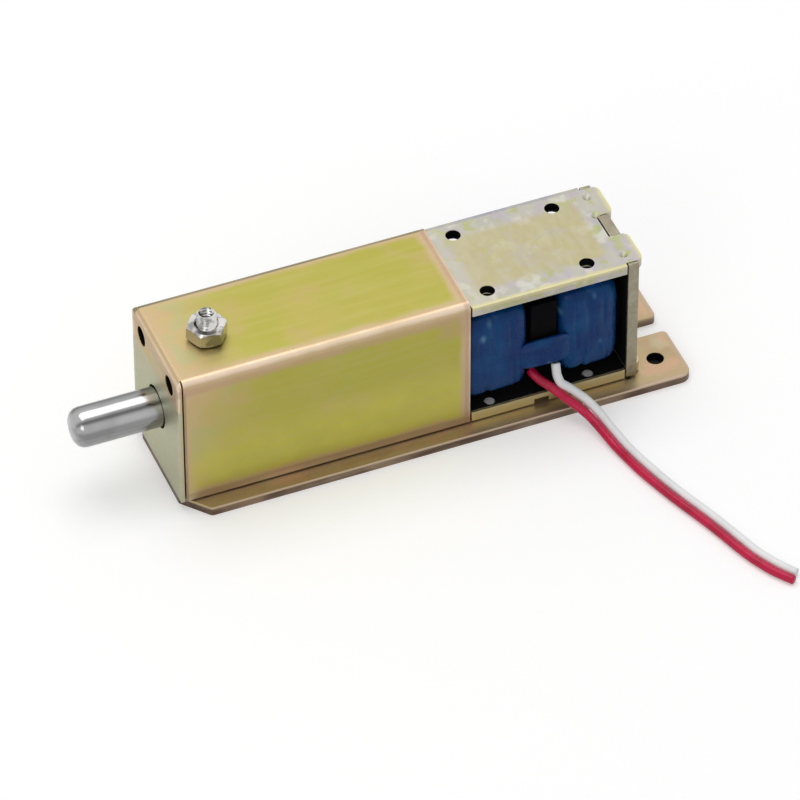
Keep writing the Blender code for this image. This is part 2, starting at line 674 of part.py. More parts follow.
def make_washers():
    start = (STOP_FRONT, 0, AXIS_Z)
    stop = washer("stop_washer", start, STOP_THICK, BOLT_R + SEAT_GAP, COLLAR_R + STOP_RIM, parts)
    paint(stop, nylon_dark)
    start = (YOKE_FRONT - SEAT_GAP - SPRING_SEAT, 0, AXIS_Z)
    inner = PLUNGER_R + SPRING_AIR
    seat = washer("spring_seat", start, SPRING_SEAT, inner, COLLAR_R + SEAT_RIM, parts)
    paint(seat, steel_plain)
    start = (PAD_REAR - PAD_THICK, 0, AXIS_Z)
    pad = rod("core_pad", start, PAD_THICK, PLUNGER_R, "X", parts, ROUND_SIDES)
    paint(pad, nylon_dark)


def make_yoke():
    """The folded steel strip: its side fold is cut to the outline of its blank."""
    outer, inner = YOKE_BEND + YOKE_SHEET, YOKE_BEND
    rear = END_PLATE_REAR + TONGUE_REACH
    past = rear + 5 * OVERSHOOT
    fold = [
        (past, YOKE_BOTTOM, 0), (YOKE_FRONT, YOKE_BOTTOM, outer), (YOKE_FRONT, YOKE_TOP, outer),
        (past, YOKE_TOP, 0), (past, YOKE_TOP - YOKE_SHEET, 0),
        (BAY_FRONT, YOKE_TOP - YOKE_SHEET, inner), (BAY_FRONT, YOKE_FLOOR, inner),
        (past, YOKE_FLOOR, 0),
    ]
    matrix = Matrix.Rotation(math.pi / 2, 4, "X")
    yoke = plate("yoke", fold, BODY_WIDTH + 2 * OVERSHOOT, matrix, parts)
    shoulder = COVER_REAR + SEAT_GAP
    edge = BAY_REAR - SEAT_GAP
    blank = [
        (YOKE_FRONT - OVERSHOOT, 0, 0), (YOKE_FRONT - OVERSHOOT, NECK_HALF, 0),
        (shoulder, NECK_HALF, 0), (shoulder, BODY_HALF, SHOULDER_ROUND), (edge, BODY_HALF, 0),
        (edge, TONGUE_OUT, 0), (rear, TONGUE_OUT, TONGUE_CORNER), (rear, TONGUE_IN, TONGUE_CORNER),
        (edge, TONGUE_IN, 0), (edge, 0, 0),
    ]
    matrix = Matrix.Translation((0, 0, AXIS_Z))
    height = YOKE_HEIGHT + 4 * OVERSHOOT
    boolean(yoke, plate("yoke_blank", mirrored(blank), height, matrix, cutters), "INTERSECT")
    start = (YOKE_FRONT - OVERSHOOT, 0, AXIS_Z)
    length = YOKE_SHEET + 2 * OVERSHOOT
    radius = PLUNGER_R + SPRING_AIR
    boolean(yoke, rod("plunger_hole", start, length, radius, "X", cutters, ROUND_SIDES))
    length = YOKE_SHEET + 2 * OVERSHOOT
    for x, y in top_tap_places():
        start = (x, y, YOKE_TOP - YOKE_SHEET - OVERSHOOT)
        boolean(yoke, rod("top_tap", start, length, TAP_DIA / 2, "Z", cutters))
    for x, y in yoke_screw_places():
        start = (x, y, YOKE_BOTTOM - OVERSHOOT)
        hole = rod("bottom_tap", start, length, SCREW_DIA / 2 + RUN_GAP, "Z", cutters, SMALL_SIDES)
        boolean(yoke, hole)
    marks = [(BAY_REAR + TONGUE_MARK_SHIFT, side * TONGUE_MARK) for side in (-1, 1)]
    for x, y in marks + [(BAY_REAR + MIDDLE_MARK_SHIFT, MIDDLE_MARK)]:
        slope = DIMPLE_DIA / 2 / DIMPLE_DEPTH
        start = (x, y, YOKE_TOP - DIMPLE_DEPTH)
        depth = DIMPLE_DEPTH + OVERSHOOT
        wide = depth * slope
        dimple = rod("dimple", start, depth, DIMPLE_POINT, "Z", cutters, SMALL_SIDES, wide)
        boolean(yoke, dimple)
    low = (MID_X - NOTCH_SHIFT - NOTCH_LENGTH / 2, -BODY_HALF - OVERSHOOT, YOKE_BOTTOM - OVERSHOOT)
    high = (low[0] + NOTCH_LENGTH, -BODY_HALF + NOTCH_DEPTH, YOKE_BOTTOM + NOTCH_RISE)
    boolean(yoke, box("edge_notch", low, high, cutters))
    return paint(yoke, zinc_pale)


def make_end_plate():
    """The plate that closes the yoke: open notches take the tongues of both yoke plates."""
    corners = [(z, y, OUTLINE_ROUND) for z, y in (
        (YOKE_BOTTOM, -BODY_HALF), (YOKE_BOTTOM, BODY_HALF), (YOKE_TOP, BODY_HALF), (YOKE_TOP, -BODY_HALF))]
    middle = Matrix.Translation((BAY_REAR + YOKE_SHEET / 2, 0, 0))
    matrix = middle @ Matrix.Rotation(-math.pi / 2, 4, "Y")
    end_plate = plate("yoke_end_plate", corners, YOKE_SHEET, matrix, parts)
    depth = YOKE_SHEET + SEAT_GAP
    for side in (-1, 1):
        edges = sorted((side * (TONGUE_IN - RUN_GAP), side * (TONGUE_OUT + RUN_GAP)))
        for bottom in (YOKE_BOTTOM - OVERSHOOT, YOKE_TOP - depth):
            low = (BAY_REAR - OVERSHOOT, edges[0], bottom)
            high = (BAY_REAR + YOKE_SHEET + OVERSHOOT, edges[1], bottom + depth + OVERSHOOT)
            boolean(end_plate, box("tongue_notch", low, high, cutters))
    start = (BAY_REAR - OVERSHOOT, 0, AXIS_Z)
    length = YOKE_SHEET + 2 * OVERSHOOT
    boolean(end_plate, rod("rivet_hole", start, length, RIVET_DIA / 2 + SEAT_GAP, "X", cutters))
    return paint(end_plate, zinc_pale)


def make_bobbin():
    """The moulded bobbin: a tube with four flanges and a block between the two windings."""
    end_rim = TUBE_OUT + END_FLANGE_RIM
    mid_rim = TUBE_OUT + MID_FLANGE_RIM
    flanges = [
        (BOBBIN_FRONT, BOBBIN_FRONT + FLANGE_THICK, end_rim),
        (MID_FRONT + SEAT_GAP, MID_FRONT + SEAT_GAP + MID_FLANGE_THICK, mid_rim),
        (MID_REAR - SEAT_GAP - MID_FLANGE_THICK, MID_REAR - SEAT_GAP, mid_rim),
        (BOBBIN_REAR - FLANGE_THICK, BOBBIN_REAR, end_rim),
    ]
    stations = [(0, 0)]
    for front, rear, rim in flanges:
        stations += [(front - BOBBIN_FRONT, TUBE_OUT), (front - BOBBIN_FRONT, rim),
                     (rear - BOBBIN_FRONT, rim), (rear - BOBBIN_FRONT, TUBE_OUT)]
    stations.pop(1)
    stations.pop()
    stations.append((BOBBIN_REAR - BOBBIN_FRONT, 0))
    bobbin = turned("bobbin", stations, (BOBBIN_FRONT, 0, AXIS_Z), "X", parts)
    half = WINDING_HALF_Y - MID_BLOCK_STEP
    low = (MID_X - MID_BLOCK / 2, -half, AXIS_Z - MID_BLOCK_DROP)
    high = (MID_X + MID_BLOCK / 2, half, AXIS_Z + WINDING_HALF_Z - MID_BLOCK_STEP)
    block = box("mid_block", low, high, cutters)
    round_edges(block, MID_BLOCK_EDGE, 2)
    boolean(bobbin, block, "UNION")
    start = (BOBBIN_FRONT - OVERSHOOT, 0, AXIS_Z)
    length = BOBBIN_REAR - BOBBIN_FRONT + 2 * OVERSHOOT
    boolean(bobbin, rod("tube_bore", start, length, TUBE_IN, "X", cutters, ROUND_SIDES))
    return paint(bobbin, plastic_black)


def make_winding(name, front, rear):
    """A taped winding: a box with well rounded edges on the bobbin's tube."""
    low = (front, -WINDING_HALF_Y, AXIS_Z - WINDING_HALF_Z)
    high = (rear, WINDING_HALF_Y, AXIS_Z + WINDING_HALF_Z)
    winding = box(name, low, high, parts)
    round_edges(winding, WINDING_EDGE, 5)
    winding.data.shade_smooth()
    start = (front - OVERSHOOT, 0, AXIS_Z)
    length = rear - front + 2 * OVERSHOOT
    bore = rod(name + "_bore", start, length, TUBE_OUT + SEAT_GAP, "X", cutters, ROUND_SIDES)
    boolean(winding, bore)
    return paint(winding, tape_blue)


def make_tape():
    """The pad of tape over the lead joints, on the near side between the windings."""
    near = -(WINDING_HALF_Y - MID_BLOCK_STEP) - SEAT_GAP
    top = AXIS_Z + TAPE_RISE
    low = (MID_FRONT - TAPE_LAP, near - TAPE_THICK, top - TAPE_HEIGHT)
    tape = box("lead_tape", low, (MID_REAR + TAPE_LAP, near, top), parts)
    round_edges(tape, TAPE_EDGE, 3)
    return paint(tape, tape_blue)


def make_core():
    """The fixed core: a turned slug whose rear end is riveted through the end plate."""
    neck = END_PLATE_REAR + SEAT_GAP - CORE_FRONT
    rear = neck + RIVET_RISE
    face, rim = PLUNGER_R - EDGE_CHAMFER, RIVET_HEAD / 2
    stations = [(0, 0), (0, face), (EDGE_CHAMFER, PLUNGER_R), (CORE_LENGTH, PLUNGER_R),
                (CORE_LENGTH, RIVET_DIA / 2), (neck, RIVET_DIA / 2), (neck, rim),
                (rear - EDGE_CHAMFER, rim), (rear, rim - EDGE_CHAMFER), (rear, 0)]
    core = turned("fixed_core", stations, (CORE_FRONT, 0, AXIS_Z), "X", parts)
    return paint(core, steel_plain)


def smooth_route(route, spacing):
    """Points at an even spacing on a smooth curve through the route's own points."""
    ends = [2 * route[0] - route[1]] + route + [2 * route[-1] - route[-2]]
    dense = []
    for i in range(1, len(ends) - 2):
        a, b, c, d = ends[i - 1:i + 3]
        for step in range(20):
            t = step / 20
            dense.append((b * 2 + (c - a) * t + (a * 2 - b * 5 + c * 4 - d) * t ** 2
                          + (b * 3 - a - c * 3 + d) * t ** 3) / 2)
    dense.append(route[-1])
    total = sum((q - p).length for p, q in zip(dense, dense[1:]))
    count = max(2, round(total / spacing))
    points, travelled, wanted = [dense[0]], 0.0, total / count
    for p, q in zip(dense, dense[1:]):
        travelled += (q - p).length
        if travelled >= wanted * len(points) and len(points) < count:
            points.append(q)
    points.append(dense[-1])
    return points


def make_lead(name, route, material):
    places = [Vector((COVER_FRONT + x, y, z)) for x, y, z in route]
    start = places[0]
    points = [place - start for place in smooth_route(places, 2 * LEAD_DIA)]
    return wire(name, points, LEAD_DIA, start, material)


clear_scene()
parts = new_collection("solenoid_lock")
cutters = new_collection("cutters")

zinc_yellow = principled("zinc_yellow", (0.56, 0.53, 0.24), 0.32, 0.9)
zinc_pale = principled("zinc_pale", (0.62, 0.60, 0.38), 0.35, 0.9)
zinc_dark = principled("zinc_dark", (0.46, 0.36, 0.22), 0.35, 0.9)
zinc_bright = principled("zinc_bright", (0.72, 0.70, 0.66), 0.25, 1.0)
steel_polished = principled("steel_polished", (0.66, 0.66, 0.67), 0.18, 1.0)
steel_plain = principled("steel_plain", (0.45, 0.45, 0.46), 0.35, 1.0)
cast_grey = principled("cast_grey", (0.33, 0.34, 0.35), 0.55, 0.9)
nylon_dark = principled("nylon_dark", (0.03, 0.03, 0.03), 0.6, 0.0)
plastic_black = principled("plastic_black", (0.015, 0.015, 0.017), 0.35, 0.0)
tape_blue = principled("tape_blue", (0.02, 0.06, 0.22), 0.3, 0.0)
pvc_red = principled("pvc_red", (0.55, 0.01, 0.04), 0.4, 0.0)
pvc_white = principled("pvc_white", (0.75, 0.78, 0.78), 0.4, 0.0)

make_base_plate()
make_screws()
make_cover()
make_guide_block()
make_stud()
make_nut()
make_bolt()
make_pin()
make_plunger()
make_spring()
make_washers()
make_yoke()
make_end_plate()
make_bobbin()
make_winding("front_winding", FRONT_WINDING_X, MID_FRONT)
make_winding("rear_winding", MID_REAR, REAR_WINDING_END)
make_tape()
make_core()
make_lead("red_lead", RED_ROUTE, pvc_red)
make_lead("white_lead", WHITE_ROUTE, pvc_white)
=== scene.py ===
# Looks for a solenoid lock: folded zinc-plated steel, taped windings, two leads and a round bolt.
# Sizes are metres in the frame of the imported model: the bolt points to -X and Z is up.
import math
import bmesh
import bpy
import numpy as np
from mathutils import Matrix, Vector


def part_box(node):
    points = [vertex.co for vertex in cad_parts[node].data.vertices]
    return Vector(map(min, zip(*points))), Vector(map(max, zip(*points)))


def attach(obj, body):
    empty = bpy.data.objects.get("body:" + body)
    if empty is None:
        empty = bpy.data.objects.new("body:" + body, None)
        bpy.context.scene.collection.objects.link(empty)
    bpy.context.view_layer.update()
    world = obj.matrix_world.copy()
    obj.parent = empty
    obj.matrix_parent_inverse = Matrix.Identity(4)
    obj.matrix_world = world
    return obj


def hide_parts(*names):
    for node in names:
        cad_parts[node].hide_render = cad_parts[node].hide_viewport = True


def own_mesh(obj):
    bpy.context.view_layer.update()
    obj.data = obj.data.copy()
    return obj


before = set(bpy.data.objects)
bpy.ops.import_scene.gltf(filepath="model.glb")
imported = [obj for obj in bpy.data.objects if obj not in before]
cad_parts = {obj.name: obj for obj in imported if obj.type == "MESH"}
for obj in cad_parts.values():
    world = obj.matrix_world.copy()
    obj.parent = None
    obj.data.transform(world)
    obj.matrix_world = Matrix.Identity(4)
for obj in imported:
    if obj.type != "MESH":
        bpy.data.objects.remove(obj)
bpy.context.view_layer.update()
print("frame loaded:", len(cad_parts), "nodes")

mm = 0.001
turn = 2 * math.pi


def spot(*values):
    # a point or a size given in millimetres
    return tuple(value * mm for value in values)


# camera: the photograph's angle, worked out from the lock's known edges
view = {
    "azimuth": -22.003,
    "elevation": 43.107,
    "roll": -0.201,
    "focalPixels": 6993.4,
    "imagePixels": 800,
    "sensor": 36.0,
    "target": spot(0.515, -14.29, 15.30),
    "distance": 1.3321,
    "clip": (0.05, 20.0),
}


def makeCamera():
    a, e, r = (math.radians(view[k]) for k in ("azimuth", "elevation", "roll"))
    back = Vector((math.sin(a) * math.cos(e), -math.cos(a) * math.cos(e), math.sin(e)))
    right = Vector((math.cos(a), math.sin(a), 0))
    up = back.cross(right)
    turnedRight = right * math.cos(r) + up * math.sin(r)
    turnedUp = back.cross(turnedRight)
    data = bpy.data.cameras.new("photoCamera")
    data.sensor_width = view["sensor"]
    data.lens = view["focalPixels"] / view["imagePixels"] * view["sensor"]
    data.clip_start, data.clip_end = view["clip"]
    camera = bpy.data.objects.new("photoCamera", data)
    place = Matrix((turnedRight, turnedUp, back)).transposed().to_4x4()
    place.translation = Vector(view["target"]) + back * view["distance"]
    camera.matrix_world = place
    bpy.context.scene.collection.objects.link(camera)
    bpy.context.scene.camera = camera


# node helpers
def newMaterial(name):
    material = bpy.data.materials.new(name)
    material.use_nodes = True
    return material, material.node_tree, material.node_tree.nodes["Principled BSDF"]


def addNode(tree, kind, *values, **settings):
    # the values fill the first inputs, and may be numbers, colours or other nodes' outputs
    made = tree.nodes.new(kind)
    for key, setting in settings.items():
        setattr(made, key, setting)
    for socket, value in zip(made.inputs, values):
        connect(tree, value, socket)
    return made


def connect(tree, value, socket):
    if isinstance(value, bpy.types.NodeSocket):
        tree.links.new(value, socket)
    elif isinstance(value, tuple) and len(value) == 3 and socket.type == "RGBA":
        socket.default_value = (*value, 1)
    else:
        socket.default_value = value


def maths(tree, operation, *values):
    return addNode(tree, "ShaderNodeMath", *values, operation=operation).outputs[0]


def plus(tree, first, second):
    return maths(tree, "ADD", first, second)


def minus(tree, first, second):
    return maths(tree, "SUBTRACT", first, second)


def times(tree, first, second):
    return maths(tree, "MULTIPLY", first, second)


def lesser(tree, first, second):
    return maths(tree, "MINIMUM", first, second)


def greater(tree, first, second):
    return maths(tree, "MAXIMUM", first, second)


def distance(tree, across, upright):
    return maths(tree, "SQRT", plus(tree, times(tree, across, across), times(tree, upright, upright)))


def mixColour(tree, share, first, second):
    made = addNode(tree, "ShaderNodeMix", data_type="RGBA")
    connect(tree, share, made.inputs[0])
    connect(tree, first, made.inputs[6])  # the first of the node's colour inputs
    connect(tree, second, made.inputs[7])
    return made.outputs[2]


def ramp(tree, value, low, high, start=0.0, end=1.0):
    # a smooth step from start to end as value goes from low to high
    made = addNode(tree, "ShaderNodeMapRange", value, low, high, start, end,
                   interpolation_type="SMOOTHSTEP")
    return made.outputs[0]


def objectPoint(tree, scale=(1, 1, 1), move=(0, 0, 0)):
    place = addNode(tree, "ShaderNodeTexCoord").outputs["Object"]
    mapping = addNode(tree, "ShaderNodeMapping", place)
    mapping.inputs["Scale"].default_value = scale
    mapping.inputs["Location"].default_value = move
    return mapping.outputs[0]


def objectAxes(tree):
    # the point's three coordinates, one output each
    place = addNode(tree, "ShaderNodeTexCoord").outputs["Object"]
    return addNode(tree, "ShaderNodeSeparateXYZ", place).outputs


def noise(tree, point, scale, detail, roughness=0.55):
    made = addNode(tree, "ShaderNodeTexNoise", point)
    made.inputs["Scale"].default_value = scale
    made.inputs["Detail"].default_value = detail
    made.inputs["Roughness"].default_value = roughness
    return made.outputs[0]


def bump(tree, shader, height, strength, depth):
    made = addNode(tree, "ShaderNodeBump")
    made.inputs["Strength"].default_value = strength
    made.inputs["Distance"].default_value = depth
    tree.links.new(height, made.inputs["Height"])
    tree.links.new(made.outputs[0], shader.inputs["Normal"])


def sideGaps(tree, low, high):
    # for each axis, how far a point is from the nearer side of a box, and below 0 outside it
    place = objectAxes(tree)
    return [lesser(tree, minus(tree, place[axis], low[axis]), minus(tree, high[axis], place[axis]))
            for axis in range(3)]


def rimDistance(tree, low, high, endScale):
    # on the faces of a box: how far a point is from the nearest edge of its face,
    # which is the middle one of its three distances to the box's sides;
    # endScale stretches the distance to the front and rear, so that their bands are narrower
    along, across, upright = sideGaps(tree, low, high)
    along = times(tree, along, endScale)
    farther = greater(tree, along, across)
    return greater(tree, lesser(tree, along, across), lesser(tree, farther, upright))


def insideShare(tree, low, high, soft):
    # 1 well inside the box from low to high, and 0 outside it
    along, across, upright = sideGaps(tree, low, high)
    return ramp(tree, lesser(tree, lesser(tree, along, across), upright), 0.0, soft)


# yellow-passivated zinc: gold-green in the middle of a face, pink and tan towards its edges
# this is what all the plated sheets share; the finish of each one is further down
# a noise is its scale, its detail and its roughness
plating = {
    "patchRange": (0.38, 0.66),    # noise values where the patch colour starts and is full
    "cloudDetail": 2.0,
    "driftDetail": 3.0,
    "driftScale": 2.3,             # how much finer the second cloud is than the first
    "driftMove": spot(31, 7, 53),
    "stainDetail": 2.5,
    "stainSpread": (1, 2, -1),     # a stain's shift in X, Y and Z, as shares of its own number
    "frontDetail": 2.0,
    "frontSpread": (1, -1, 3),
    "frontWaver": 3.0,             # how much more the front's tint wavers than the edge band
    "rimWaver": 0.35,
    "rimStart": 0.3,               # where the rim starts to fade, as a share of bandStart
    "raggedRange": (0.3, 0.6),     # noise values over which panels and overlays fill up
    "panelLeast": 0.6,
    "overlayLeast": 0.55,
    "grainNoise": (900.0, 4.0, 0.6),
    "grainRange": (0.35, 0.75),
    "speckNoise": (5200.0, 2.0, 0.5),
    "speckShare": 0.5,
    "roughRange": (0.2, 0.8),
    "bump": 0.12,
    "bumpDepth": 0.04 * mm,
    "linedSoft": 0.08 * mm,
}


def layStains(tree, colour, stains, spread, detail):
    # clouds of other colours over a colour
    for scale, move, start, end, share, tint in stains:
        point = objectPoint(tree, (1, 1, 1), spot(*(move * step for step in spread)))
        stain = noise(tree, point, scale, detail)
        colour = mixColour(tree, ramp(tree, stain, start, end, 0.0, share), colour, tint)
    return colour


def layBoxes(tree, colour, boxes, low, high, ragged):
    # soft-edged boxes of other colours over a colour, thinned by a ragged noise
    for inset, soft, share, tint in boxes:
        boxLow = [low[axis] + inset[axis][0] for axis in range(3)]
        boxHigh = [high[axis] - inset[axis][1] for axis in range(3)]
        inBox = times(tree, insideShare(tree, boxLow, boxHigh, soft), ragged)
        colour = mixColour(tree, times(tree, inBox, share), colour, tint)
    return colour


def makeChromate(name, finish, low, high, darkBoxes):
    # inside a dark box the sheet is painted near black as painted shade: the shade in the coil bay and
    # down the holes
    material, tree, shader = newMaterial(name)
    cloud = noise(tree, objectPoint(tree), finish["cloudScale"], plating["cloudDetail"])
    drift = noise(tree, objectPoint(tree, (1, 1, 1), plating["driftMove"]),
                  finish["cloudScale"] * plating["driftScale"], plating["driftDetail"])
    waver = times(tree, minus(tree, drift, 0.5), finish["waver"])
    patched = ramp(tree, cloud, *plating["patchRange"])
    colour = mixColour(tree, patched, finish["base"], finish["patch"])
    colour = layStains(tree, colour, finish["stains"], plating["stainSpread"], plating["stainDetail"])
    ragged = ramp(tree, drift, *plating["raggedRange"], plating["panelLeast"], 1.0)
    colour = layBoxes(tree, colour, finish["panels"], low, high, ragged)
    # the front's tint, which reaches less far back the lower it is
    place = objectAxes(tree)
    below = times(tree, minus(tree, high[2], place[2]), finish["frontFall"])
    fromFront = plus(tree, minus(tree, place[0], low[0]), below)
    fromFront = plus(tree, fromFront, times(tree, waver, plating["frontWaver"]))
    frontColour = layStains(tree, finish["front"], finish["frontStains"],
                            plating["frontSpread"], plating["frontDetail"])
    frontAmount = ramp(tree, fromFront, 0.0, finish["frontReach"], finish["frontShare"], 0.0)
    colour = mixColour(tree, frontAmount, colour, frontColour)
    # the band inside the edges of a face, and the rim on the edges themselves, whose pale colour is
    # partly the plating's own edge colour and partly a painted highlight along the edges and folds
    inward = plus(tree, rimDistance(tree, low, high, 1.0), waver)
    edgeShare = ramp(tree, inward, finish["bandStart"], finish["bandEnd"], 1.0, 0.0)
    colour = mixColour(tree, edgeShare, colour, finish["edge"])
    toRim = rimDistance(tree, low, high, finish["endScale"])
    inward = plus(tree, toRim, times(tree, waver, plating["rimWaver"]))
    rimStart = plating["rimStart"] * finish["bandStart"]
    rimShare = ramp(tree, inward, rimStart, finish["bandStart"], 1.0, 0.0)
    colour = mixColour(tree, rimShare, colour, finish["rim"])
    ragged = ramp(tree, cloud, *plating["raggedRange"], plating["overlayLeast"], 1.0)
    colour = layBoxes(tree, colour, finish["overlays"], low, high, ragged)
    grain = noise(tree, objectPoint(tree, finish["grain"]), *plating["grainNoise"])
    speck = noise(tree, objectPoint(tree), *plating["speckNoise"])
    grainAmount = ramp(tree, grain, *plating["grainRange"], 0.0, finish["grainShare"])
    colour = mixColour(tree, grainAmount, colour, finish["grainColour"])
    rough = ramp(tree, grain, *plating["roughRange"], *finish["roughness"])
    # painted shade: near black inside the coil bay and on the hole walls, where shade falls
    shadeShare = 0.0
    for box in darkBoxes:
        shadeShare = greater(tree, shadeShare, insideShare(tree, *box, plating["linedSoft"]))
    colour = mixColour(tree, shadeShare, colour, paintedShade["colour"])
    rough = greater(tree, rough, times(tree, shadeShare, paintedShade["roughness"]))
    metallic = times(tree, minus(tree, 1.0, shadeShare), finish["metallic"])
    tree.links.new(colour, shader.inputs["Base Color"])
    tree.links.new(rough, shader.inputs["Roughness"])
    shader.inputs["Metallic"].default_value = finish["metallic"]
    tree.links.new(metallic, shader.inputs["Metallic"])
    shader.inputs["Specular IOR Level"].default_value = paintedShade["shine"]
    height = maths(tree, "MULTIPLY_ADD", speck, plating["speckShare"], grain)
    bump(tree, shader, height, plating["bump"], plating["bumpDepth"])
    return material


# steels: what they share, a noise being its scale, its detail and its roughness
steelwork = {
    "marksNoise": (1400.0, 4.0, 0.65),
    "streakDetail": (3.0, 0.6),
    "streakMove": spot(5, 11, 3),
    "cloudNoise": (160.0, 2.0),
    "cloudRange": (0.4, 0.65),
    "roughRange": (0.2, 0.8),
    "bandWaver": 0.12,
    "noseRange": (2.4 * mm, 3.8 * mm),  # radii over which the bands fade in behind the nose
    "bumpDepth": 0.03 * mm,
}


def makeMetal(name, look, bandHeight):
    # plain or plated steel: streaks and tool marks that run along one direction,
    # and on the bolt dark bands at set angles round an axis along X at bandHeight, painted reflections
    # of dark surroundings
    material, tree, shader = newMaterial(name)
    marks = noise(tree, objectPoint(tree, look["grain"]), *steelwork["marksNoise"])
    streak = noise(tree, objectPoint(tree, look["grain"], steelwork["streakMove"]),
                   look["streakScale"], *steelwork["streakDetail"])
    cloud = noise(tree, objectPoint(tree), *steelwork["cloudNoise"])
    clouded = ramp(tree, cloud, *steelwork["cloudRange"])
    shade = mixColour(tree, clouded, look["colour"], look["tint"])
    streaked = ramp(tree, streak, *look["streakRange"], 0.0, look["streakShare"])
    shade = mixColour(tree, streaked, shade, look["streak"])
    # painted reflections: dark bands round the bolt where it would mirror dark surroundings
    for centre, half, share in look.get("reflectionBands", []):
        place = objectAxes(tree)
        rise = minus(tree, place[2], bandHeight)
        angle = maths(tree, "ARCTAN2", rise, times(tree, place[1], -1.0))
        away = maths(tree, "ABSOLUTE", minus(tree, angle, math.radians(centre)))
        away = plus(tree, away, times(tree, streak, steelwork["bandWaver"]))
        behindNose = ramp(tree, distance(tree, rise, place[1]), *steelwork["noseRange"])
        reflectionShare = times(tree, ramp(tree, away, 0.0, math.radians(half), share, 0.0), behindNose)
        shade = mixColour(tree, reflectionShare, shade, look["streak"])
    tree.links.new(shade, shader.inputs["Base Color"])
    rough = ramp(tree, marks, *steelwork["roughRange"], *look["roughness"])
    tree.links.new(rough, shader.inputs["Roughness"])
    shader.inputs["Metallic"].default_value = look["metallic"]
    bump(tree, shader, marks, look["bump"], steelwork["bumpDepth"])
    return material


# plastics: what they share, a noise being its scale and its detail
moulding = {
    "cloudNoise": (220.0, 3.0),
    "cloudRange": (0.4, 0.7),
    "grainNoise": (900.0, 3.0),
    "roughRange": (0.2, 0.8),
    "bumpDepth": 0.05 * mm,
}


def makePlastic(name, look):
    # moulded plastic or lead insulation, clouded and faintly grained
    material, tree, shader = newMaterial(name)
    cloud = noise(tree, objectPoint(tree), *moulding["cloudNoise"])
    grain = noise(tree, objectPoint(tree), *moulding["grainNoise"])
    clouded = ramp(tree, cloud, *moulding["cloudRange"])
    colour = mixColour(tree, clouded, look["colour"], look["cloud"])
    tree.links.new(colour, shader.inputs["Base Color"])
    rough = ramp(tree, grain, *moulding["roughRange"], *look["roughness"])
    tree.links.new(rough, shader.inputs["Roughness"])
    shader.inputs["Specular IOR Level"].default_value = look["shine"]
    bump(tree, shader, grain, look["bump"], moulding["bumpDepth"])
    return material


# blue tape: wrapped layers round the coil, glossy with fine wrinkles
tapeLook = {
    "deep": (0.003, 0.034, 0.150),
    "clear": (0.003, 0.066, 0.205),
    "worn": (0.012, 0.046, 0.190),
    "glint": (0.10, 0.24, 0.40),
    "roughness": (0.18, 0.36),
    "shine": 0.13,
    "bump": 0.5,
    "bumpDepth": 0.3 * mm,
    # a noise is its scale, its detail and its roughness, and is squeezed along the coil
    "wrinkleNoise": (260.0, 4.0, 0.6),
    "wrinkleSqueeze": (3.2, 1, 1),
    "fineNoise": (1300.0, 3.0, 0.6),
    "fineSqueeze": (5, 1, 1),
    "fineShare": 0.3,
    "cloudNoise": (170.0, 3.0),
    "cloudRange": (0.35, 0.7),
    "wornNoise": (240.0, 3.0),
    "wornSqueeze": (1.6, 1, 1),
    "wornMove": spot(17, 3, 9),
    "wornRange": (0.5, 0.75),
    "wornShare": 0.7,
    "roughRange": (0.25, 0.75),
    # places in X and Z of painted highlights on the tape, with their radius and share
    "paintedGlints": [(18.7, 22.4, 0.9, 0.9), (20.2, 25.5, 0.8, 0.6), (35.0, 22.5, 0.9, 0.9),
               (41.9, 25.4, 0.7, 0.5), (32.4, 11.7, 0.6, 0.4), (43.1, 13.7, 0.6, 0.4)],
    "glintFull": 0.3 * mm,
    "glintSoft": 0.5 * mm,
    "glintRagged": 0.8 * mm,
    "glintFlat": 0.7,
}


def makeTape(name):
    # long wrinkles across the wrap, over fine creases, under patches where the tape shows paler, with
    # glints painted on as highlights at listed places
    material, tree, shader = newMaterial(name)
    wrinkle = noise(tree, objectPoint(tree, tapeLook["wrinkleSqueeze"]), *tapeLook["wrinkleNoise"])
    fine = noise(tree, objectPoint(tree, tapeLook["fineSqueeze"]), *tapeLook["fineNoise"])
    cloud = noise(tree, objectPoint(tree), *tapeLook["cloudNoise"])
    worn = noise(tree, objectPoint(tree, tapeLook["wornSqueeze"], tapeLook["wornMove"]),
                 *tapeLook["wornNoise"])
    clouded = ramp(tree, cloud, *tapeLook["cloudRange"])
    colour = mixColour(tree, clouded, tapeLook["deep"], tapeLook["clear"])
    wornAmount = ramp(tree, worn, *tapeLook["wornRange"], 0.0, tapeLook["wornShare"])
    colour = mixColour(tree, wornAmount, colour, tapeLook["worn"])
    place = objectAxes(tree)
    ragged = times(tree, fine, tapeLook["glintRagged"])
    # painted highlights: pale spots where shiny crinkles would catch a lamp
    for x, z, radius, share in tapeLook["paintedGlints"]:
        across = minus(tree, place[0], x * mm)
        upright = times(tree, minus(tree, place[2], z * mm), tapeLook["glintFlat"])
        away = plus(tree, distance(tree, across, upright), ragged)
        end = radius * mm + tapeLook["glintSoft"]
        glint = ramp(tree, away, tapeLook["glintFull"], end, share, 0.0)
        colour = mixColour(tree, glint, colour, tapeLook["glint"])
    tree.links.new(colour, shader.inputs["Base Color"])
    rough = ramp(tree, fine, *tapeLook["roughRange"], *tapeLook["roughness"])
    tree.links.new(rough, shader.inputs["Roughness"])
    shader.inputs["Specular IOR Level"].default_value = tapeLook["shine"]
    height = maths(tree, "MULTIPLY_ADD", fine, tapeLook["fineShare"], wrinkle)
    bump(tree, shader, height, tapeLook["bump"], tapeLook["bumpDepth"])
    return material


# mesh helpers
def gridFaces(rows, columns, closeRows=False):
    # quads between neighbouring points of a grid that is stored row by row, each row a closed ring
    i, j = np.meshgrid(np.arange(rows if closeRows else rows - 1), np.arange(columns), indexing="ij")
    nextI, nextJ = (i + 1) % rows, (j + 1) % columns
    corners = (i * columns + j, i * columns + nextJ, nextI * columns + nextJ, nextI * columns + j)
    return np.stack([c.ravel() for c in corners], axis=1)


